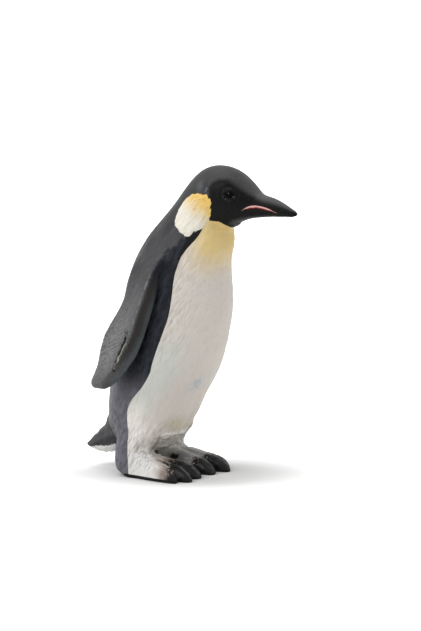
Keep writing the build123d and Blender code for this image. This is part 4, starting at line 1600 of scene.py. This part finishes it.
@dataclass(frozen=True)
class FlipperPaint:
    """Charcoal behind the ridge with painted highlights, and near black in front of it that is partly
    painted shade.
    """

    fine: Speckle = Speckle((0.4, 0.4, 1.6), 3.0, 15.0)
    fleck: Speckle = Speckle((0.5, 0.5, 0.5), 3.0)
    crease: Speckle = Speckle((0.28, 2.0, 2.0), 1.0, 64.0)
    patches: Speckle = Speckle((1.0, 1.0, 2.0), 2.0)
    depth: float = 0.05
    shine: Spot = (0.38, 0.56)
    gleam: float = 0.12

    def mix(self) -> bpy.types.Material:
        """Mix the flippers' paint."""
        coat = Coat("flipper_paint")
        fine = coat.speckle(self.fine)
        fleck = coat.speckle(self.fleck)
        height = coat.field("height")
        # Painted highlight across the middle of the outer face, flecked like dry brushing, fading towards
        # its edges and the shoulder
        brushed = coat.times(coat.rise(fleck, 0.3, 0.75, 0.5, 0.9), coat.rise(height, 62.0, 36.0))
        brushed = coat.times(brushed, coat.rise(coat.field("ahead"), -9.5, -5.0, 0.2, 1.0))
        brushed = coat.times(brushed, coat.rise(coat.field("ahead"), 0.5, -3.5, 0.6, 1.0))
        brushed = coat.times(brushed, coat.rise(height, 24.0, 34.0, 0.7, 1.0))
        colour = coat.over(brushed, charcoal(coat), Paint.FLIPPER_HIGHLIGHT_GREY)
        # Painted glints on the crests of the wrinkles, and painted shade between them
        crease = coat.speckle(self.crease)
        lines = coat.times(coat.field("crinkled"), coat.rise(crease, 0.52, 0.62, 0.0, 0.5))
        colour = coat.over(lines, colour, Paint.CREST_GREY)
        lines = coat.times(coat.field("crinkled"), coat.rise(crease, 0.48, 0.38, 0.0, 0.4))
        colour = coat.over(lines, colour, Paint.CHARCOAL)
        # Near black on the leading face in front of the ridge: partly its paint, partly painted shade
        ragged = coat.sway(fleck, 0.8)
        edge = coat.plus(coat.field("ahead"), ragged)
        share = coat.times(coat.rise(edge, -0.1, 0.9), coat.rise(height, 27.0, 36.0, 0.45, 0.97))
        colour = coat.over(share, colour, Paint.EDGE_BLACK)
        # Painted highlight along the outer rim of the leading face
        rim_highlight = coat.times(coat.rise(edge, 1.6, 3.3), coat.rise(height, 56.0, 46.0, 0.0, 0.6))
        colour = coat.over(rim_highlight, colour, Paint.RIM_HIGHLIGHT_BLUE)
        # Painted shade over the front of the flipper's top, in the flank's navy black
        cap_shade = coat.times(coat.rise(edge, 0.1, 0.9), coat.rise(height, 51.0, 58.0))
        colour = coat.over(cap_shade, colour, Paint.NAVY_BLACK)
        # Painted highlight in patches along the upper ridge
        ridge_highlight = coat.combine("ABSOLUTE", coat.plus(coat.field("ahead"), 0.15), 0.0)
        patchy = coat.rise(coat.speckle(self.patches), 0.42, 0.6, 0.0, 0.6)
        ridge_highlight = coat.times(coat.rise(ridge_highlight, 0.45, 0.05), patchy)
        ridge_highlight = coat.times(ridge_highlight, coat.rise(height, 36.0, 46.0))
        ridge_highlight = coat.times(ridge_highlight, coat.rise(height, 58.0, 54.0))
        colour = coat.over(ridge_highlight, colour, Paint.CREST_GREY)
        scuffed = coat.times(coat.field("scuff"), coat.rise(fleck, 0.47, 0.57, 0.0, 0.9))
        colour = coat.over(scuffed, colour, Paint.FACE_BLACK)
        scuffed = coat.times(coat.field("scuff"), coat.rise(fleck, 0.42, 0.34, 0.0, 0.7))
        colour = coat.over(scuffed, colour, Paint.CREST_GREY)
        crack = coat.rise(coat.field("crack"), -0.05, 0.3, 0.0, 0.95)
        colour = coat.over(crack, colour, Paint.FACE_BLACK)
        colour = coat.over(coat.rise(coat.field("flash"), 0.0, 0.1), colour, Paint.FLASH_GREY)
        relief = coat.plus(fine, coat.times(coat.sway(crease, 4.0), coat.field("crinkled")))
        return coat.finish(colour, relief, self.depth, self.shine, self.gleam, fine)


@dataclass(frozen=True)
class TailPaint:
    """Charcoal above, brushed silver white below with a ragged edge."""

    ragged: float = 1.2
    fine: Speckle = Speckle((1.6, 0.4, 0.4), 3.0, 25.0)
    depth: float = 0.08
    shine: Spot = (0.42, 0.6)
    gleam: float = 0.25

    def mix(self) -> bpy.types.Material:
        """Mix the tail's paint."""
        coat = Coat("tail_paint")
        fine = coat.speckle(self.fine)
        crest = coat.rise(coat.field("relief"), -0.2, 0.9, 0.0, 0.4)
        colour = coat.over(crest, Paint.CHARCOAL, Paint.DRY_GREY)
        under = coat.over(coat.rise(fine, 0.45, 0.7, 0.0, 0.5), Paint.SILVER, Paint.GREY_WASH)
        edge = coat.sway(fine, self.ragged)
        share = coat.rise(coat.plus(coat.field("belly"), edge), -0.1, 0.1)
        colour = coat.over(share, colour, under)
        return coat.finish(colour, fine, self.depth, self.shine, self.gleam)


@dataclass(frozen=True)
class FootPaint:
    """Black toes and sole, brown dry brushing that is grey painted shade on the far foot, and the leg's
    white run onto the instep.
    """

    name: str
    instep: Paint
    blush: Paint
    ragged: float = 2.5
    fine: Speckle = Speckle((0.6, 0.4, 0.6), 3.0)
    lash: Speckle = Speckle((0.35, 1.0, 2.2), 3.0, 24.0)
    broad: Speckle = Speckle((2.0, 1.6, 1.6), 2.0)
    depth: float = 0.06
    shine: Spot = (0.34, 0.52)
    gleam: float = 0.18

    def mix(self) -> bpy.types.Material:
        """Mix the feet's paint."""
        coat = Coat(self.name)
        fine = coat.speckle(self.fine)
        lash = coat.speckle(self.lash)
        broad = coat.speckle(self.broad)
        edge = coat.sway(broad, self.ragged)
        reach = coat.plus(coat.field("toes"), edge)
        grey, strand = strands(coat)
        colour = coat.over(grey, white_plumage(coat, lash), Paint.LEG_GREY)
        outer = coat.rise(coat.field("outer"), 0.2, 0.7)
        # Painted shade: the skin paints start earlier on the far foot's inner side
        start = coat.plus(reach, coat.field("far_shade_shift"))
        blush = coat.over(outer, self.blush, Paint.SKIN_PINK)
        colour = coat.over(coat.rise(start, -5.4, -1.2, 0.0, 0.7), colour, blush)
        instep = coat.over(outer, self.instep, Paint.SKIN_BROWN)
        colour = coat.over(coat.rise(start, -3.8, -0.2), colour, instep)
        colour = coat.over(coat.rise(reach, -0.8, 0.8), colour, Paint.TOE_BLACK)
        dots = coat.times(coat.rise(fine, 0.56, 0.64), coat.rise(reach, 2.6, 0.4, 0.0, 0.85))
        dots = coat.times(dots, coat.rise(reach, -3.5, -1.5))
        colour = coat.over(coat.times(dots, coat.field("specks")), colour, Paint.SKIN_PINK)
        colour = coat.over(coat.rise(coat.field("heel"), 0.0, 0.1), colour, Paint.LILAC_GREY)
        # Painted shadow: black in the gap between the feet
        colour = coat.over(coat.rise(coat.field("hollow"), 0.3, 0.7), colour, Paint.TOE_BLACK)
        colour = coat.over(coat.rise(coat.field("sole"), 1.05, 0.85), colour, Paint.TOE_BLACK)
        relief = coat.plus(fine, strand)
        return coat.finish(colour, relief, self.depth, self.shine, self.gleam, fine)


@dataclass(frozen=True)
class BeadGloss:
    """Wet black of the eyes, with a painted glint."""

    glint: Point = (15.2, 6.7, 79.2)
    glint_edge: Spot = (0.28, 0.12)
    fine: Speckle = Speckle((0.3, 0.3, 0.3), 2.0)
    depth: float = 0.005
    shine: Spot = (0.15, 0.25)
    gleam: float = 0.03

    def mix(self) -> bpy.types.Material:
        """Mix the beads' gloss."""
        coat = Coat("bead_gloss")
        fine = coat.speckle(self.fine)
        colour = coat.over(coat.rise(fine, 0.4, 0.7), Paint.BEAD_BLACK, Paint.FACE_BLACK)
        either_side = coat.add("ShaderNodeVectorMath", operation="ABSOLUTE")
        coat.feed(either_side.inputs[0], coat.place)
        gap = coat.add("ShaderNodeVectorMath", operation="DISTANCE")
        coat.feed(gap.inputs[0], either_side.outputs["Vector"])
        gap.inputs[1].default_value = [at * MM for at in self.glint]
        share = coat.rise(gap.outputs["Value"], *(edge * MM for edge in self.glint_edge))
        colour = coat.over(share, colour, Paint.DRY_GREY)
        return coat.finish(colour, fine, self.depth, self.shine, self.gleam)


@dataclass(frozen=True)
class BarePlastic:
    """Unpainted plastic of the hidden core."""

    fine: Speckle = Speckle((0.6, 0.6, 0.6), 3.0)
    depth: float = 0.04
    shine: Spot = (0.45, 0.6)
    gleam: float = 0.4

    def mix(self) -> bpy.types.Material:
        """Mix the core's plastic."""
        coat = Coat("bare_core_plastic")
        fine = coat.speckle(self.fine)
        colour = coat.over(coat.rise(fine, 0.4, 0.7, 0.0, 0.5), Paint.REGRIND, Paint.CHARCOAL)
        return coat.finish(colour, fine, self.depth, self.shine, self.gleam)


@dataclass
class Inserts:
    """The pieces that keep their CAD shape: two eye beads and the hidden core."""

    def dress(self) -> None:
        """Give the beads and the core their materials."""
        finishes = {"body_core": BarePlastic().mix()}
        gloss = BeadGloss().mix()
        for side in Side:
            finishes[side.node("eye")] = gloss
        for name, finish in finishes.items():
            node = frame["nodes"][name]
            node.data.materials.clear()
            node.data.materials.append(finish)
            log.info("%s keeps its shape and gets %s", name, finish.name)


@dataclass(frozen=True)
class Lamp:
    """A soft lamp, hung away from the bird by shares of the camera's right, back and up."""

    name: str
    right: float
    back: float
    up: float
    distance: float
    size: float
    power: float


@dataclass
class Studio:
    """The pale floor, the soft lamps and the camera at the photograph's angle."""

    azimuth: float = VIEW_TURN
    elevation: float = VIEW_RISE
    pixels_per_mm: float = 3.72
    image_height: int = 631
    distance: float = 5000.0
    aim: Spot = (12.23, 42.07)
    aim_foot: Point = (-9.4, 0.0, 0.0)
    sensor: float = 36.0
    floor_size: float = 6000.0
    floor_white: float = 0.8
    shadow_middle: Spot = (-3.1, 0.5)
    shadow_reach: Spot = (68.0, 40.0)
    shadow_fade: Spot = (0.2, 1.0)
    floor_roughness: float = 0.9
    floor_gleam: float = 0.1
    room_glow: float = 0.25
    backdrop_glow: float = 0.75
    lit_middle: Point = (0.0, 0.0, 42.0)
    farthest: float = 50000.0
    lamps: tuple[Lamp, ...] = (
        Lamp("key_lamp", -0.62, 0.6, 0.6, 650.0, 420.0, 2.6),
        Lamp("fill_lamp", 0.95, 0.4, 0.35, 700.0, 450.0, 1.3),
        Lamp("top_lamp", -0.15, -0.1, 1.0, 600.0, 380.0, 1.4),
    )

    def axes(self) -> tuple[np.ndarray, np.ndarray, np.ndarray]:
        """Work out the camera's right, up and back directions."""
        turn, rise = math.radians(self.azimuth), math.radians(self.elevation)
        right = np.array((math.cos(turn), math.sin(turn), 0.0))
        level = math.cos(rise)
        back = np.array((math.sin(turn) * level, -math.cos(turn) * level, math.sin(rise)))
        return right, np.cross(back, right), back

    def build(self) -> None:
        """Set up floor, world, lamps and camera."""
        bpy.context.scene.view_settings.view_transform = "Standard"
        self.lay_floor()
        self.light_room()
        self.place_camera()

    def lay_floor(self) -> None:
        """Lay a pale floor that keeps the shadow and goes white away from it."""
        bpy.ops.object.select_all(action="DESELECT")
        bpy.ops.mesh.primitive_plane_add(size=self.floor_size * MM)
        floor = bpy.context.active_object
        floor.name = "floor"
        coat = Coat("floor_paint")
        # Inside the oval the floor stays grey round the bird, a painted shadow under the lamps' own; beyond
        # it the floor glows white
        oval = coat.add("ShaderNodeMapping", vector_type="TEXTURE")
        oval.inputs["Location"].default_value = [at * MM for at in self.shadow_middle] + [0.0]
        oval.inputs["Rotation"].default_value = (0.0, 0.0, math.radians(self.azimuth))
        oval.inputs["Scale"].default_value = [edge * MM for edge in self.shadow_reach] + [1.0]
        coat.feed(oval.inputs["Vector"], coat.place)
        reach = coat.add("ShaderNodeVectorMath", operation="LENGTH")
        coat.feed(reach.inputs[0], oval.outputs["Vector"])
        far = coat.rise(reach.outputs["Value"], *self.shadow_fade)
        coat.shader.inputs["Base Color"].default_value = (self.floor_white,) * 3 + (1.0,)
        coat.shader.inputs["Roughness"].default_value = self.floor_roughness
        coat.shader.inputs["Specular IOR Level"].default_value = self.floor_gleam
        coat.shader.inputs["Emission Color"].default_value = (1.0, 1.0, 1.0, 1.0)
        glow = coat.times(seen_directly(coat.tree, 1.0), far)
        coat.feed(coat.shader.inputs["Emission Strength"], glow)
        floor.data.materials.append(coat.material)

    def light_room(self) -> None:
        """Hang the lamps and light the room."""
        right, up, back = self.axes()
        for lamp in self.lamps:
            way = lamp.right * right + lamp.back * back + lamp.up * up
            way = way / np.linalg.norm(way)
            data = bpy.data.lights.new(lamp.name, "AREA")
            data.size = lamp.size * MM
            data.energy = lamp.power
            hung = bpy.data.objects.new(lamp.name, data)
            bpy.context.collection.objects.link(hung)
            hung.location = (np.array(self.lit_middle) + way * lamp.distance) * MM
            hung.rotation_mode = "QUATERNION"
            hung.rotation_quaternion = Vector(way).to_track_quat("Z", "Y")
        world = bpy.data.worlds.new("studio_room")
        bpy.context.scene.world = world
        world.use_nodes = True
        ground = world.node_tree.nodes["Background"]
        ground.inputs["Color"].default_value = (1.0, 1.0, 1.0, 1.0)
        strength = seen_directly(world.node_tree, self.backdrop_glow, self.room_glow)
        world.node_tree.links.new(strength, ground.inputs["Strength"])

    def place_camera(self) -> None:
        """Stand a long lens at the photograph's viewing angle."""
        right, up, back = self.axes()
        target = np.array(self.aim_foot) + self.aim[0] * right + self.aim[1] * up
        data = bpy.data.cameras.new("studio_camera")
        data.sensor_width = self.sensor
        data.lens = self.pixels_per_mm * self.distance * self.sensor / self.image_height
        data.clip_end = self.farthest * MM
        camera = bpy.data.objects.new("studio_camera", data)
        bpy.context.collection.objects.link(camera)
        camera.location = (target + back * self.distance) * MM
        camera.rotation_mode = "QUATERNION"
        camera.rotation_quaternion = Vector(back).to_track_quat("Z", "Y")
        bpy.context.scene.camera = camera


def seen_directly(tree: bpy.types.NodeTree, gain: float, base: float = 0.0) -> bpy.types.NodeSocket:
    """Give a strength that is greater for rays from the camera, mirrors and glass.

    Args:
        tree: The node tree it is made in.
        gain: What such rays see on top.
        base: What all rays see.

    Returns:
        The strength.
    """
    path = tree.nodes.new("ShaderNodeLightPath")
    either = path.outputs["Is Camera Ray"]
    for name in ("Is Glossy Ray", "Is Transmission Ray"):
        more = tree.nodes.new("ShaderNodeMath")
        more.operation = "MAXIMUM"
        tree.links.new(either, more.inputs[0])
        tree.links.new(path.outputs[name], more.inputs[1])
        either = more.outputs[0]
    total = tree.nodes.new("ShaderNodeMath")
    total.operation = "MULTIPLY_ADD"
    tree.links.new(either, total.inputs[0])
    total.inputs[1].default_value = gain
    total.inputs[2].default_value = base
    return total.outputs[0]


def main() -> None:
    """Build the bird piece by piece, dress it and set up the studio."""
    logging.basicConfig(level=logging.INFO, format="%(name)s: %(message)s")
    whole = Bird().build()
    log.info("clay has %d faces", len(whole.data.polygons))
    limbs = [Flipper(side) for side in Side]
    near_skin = {"instep": Paint.SKIN_BROWN, "blush": Paint.SKIN_PINK}
    # The far foot's skin paints are greyed copies of the near foot's: painted shade
    far_shaded_skin = {"instep": Paint.CREST_GREY, "blush": Paint.LEG_GREY}
    limbs.append(Foot(Side.RIGHT, inner_reach=-4.0, shade_reach=0.0, **near_skin))
    limbs.append(Foot(Side.LEFT, inner_reach=-2.0, shade_reach=3.0, **far_shaded_skin))
    limbs += [Tail(), Head()]
    pieces = [limb.build(whole) for limb in limbs]
    body = Body()
    front, back = body.build(whole)
    for limb, piece in zip(limbs, pieces):
        limb.dress(piece)
    body.dress_front(front)
    body.dress_back(back)
    Inserts().dress()
    Studio().build()


if __name__ == "__main__":
    main()
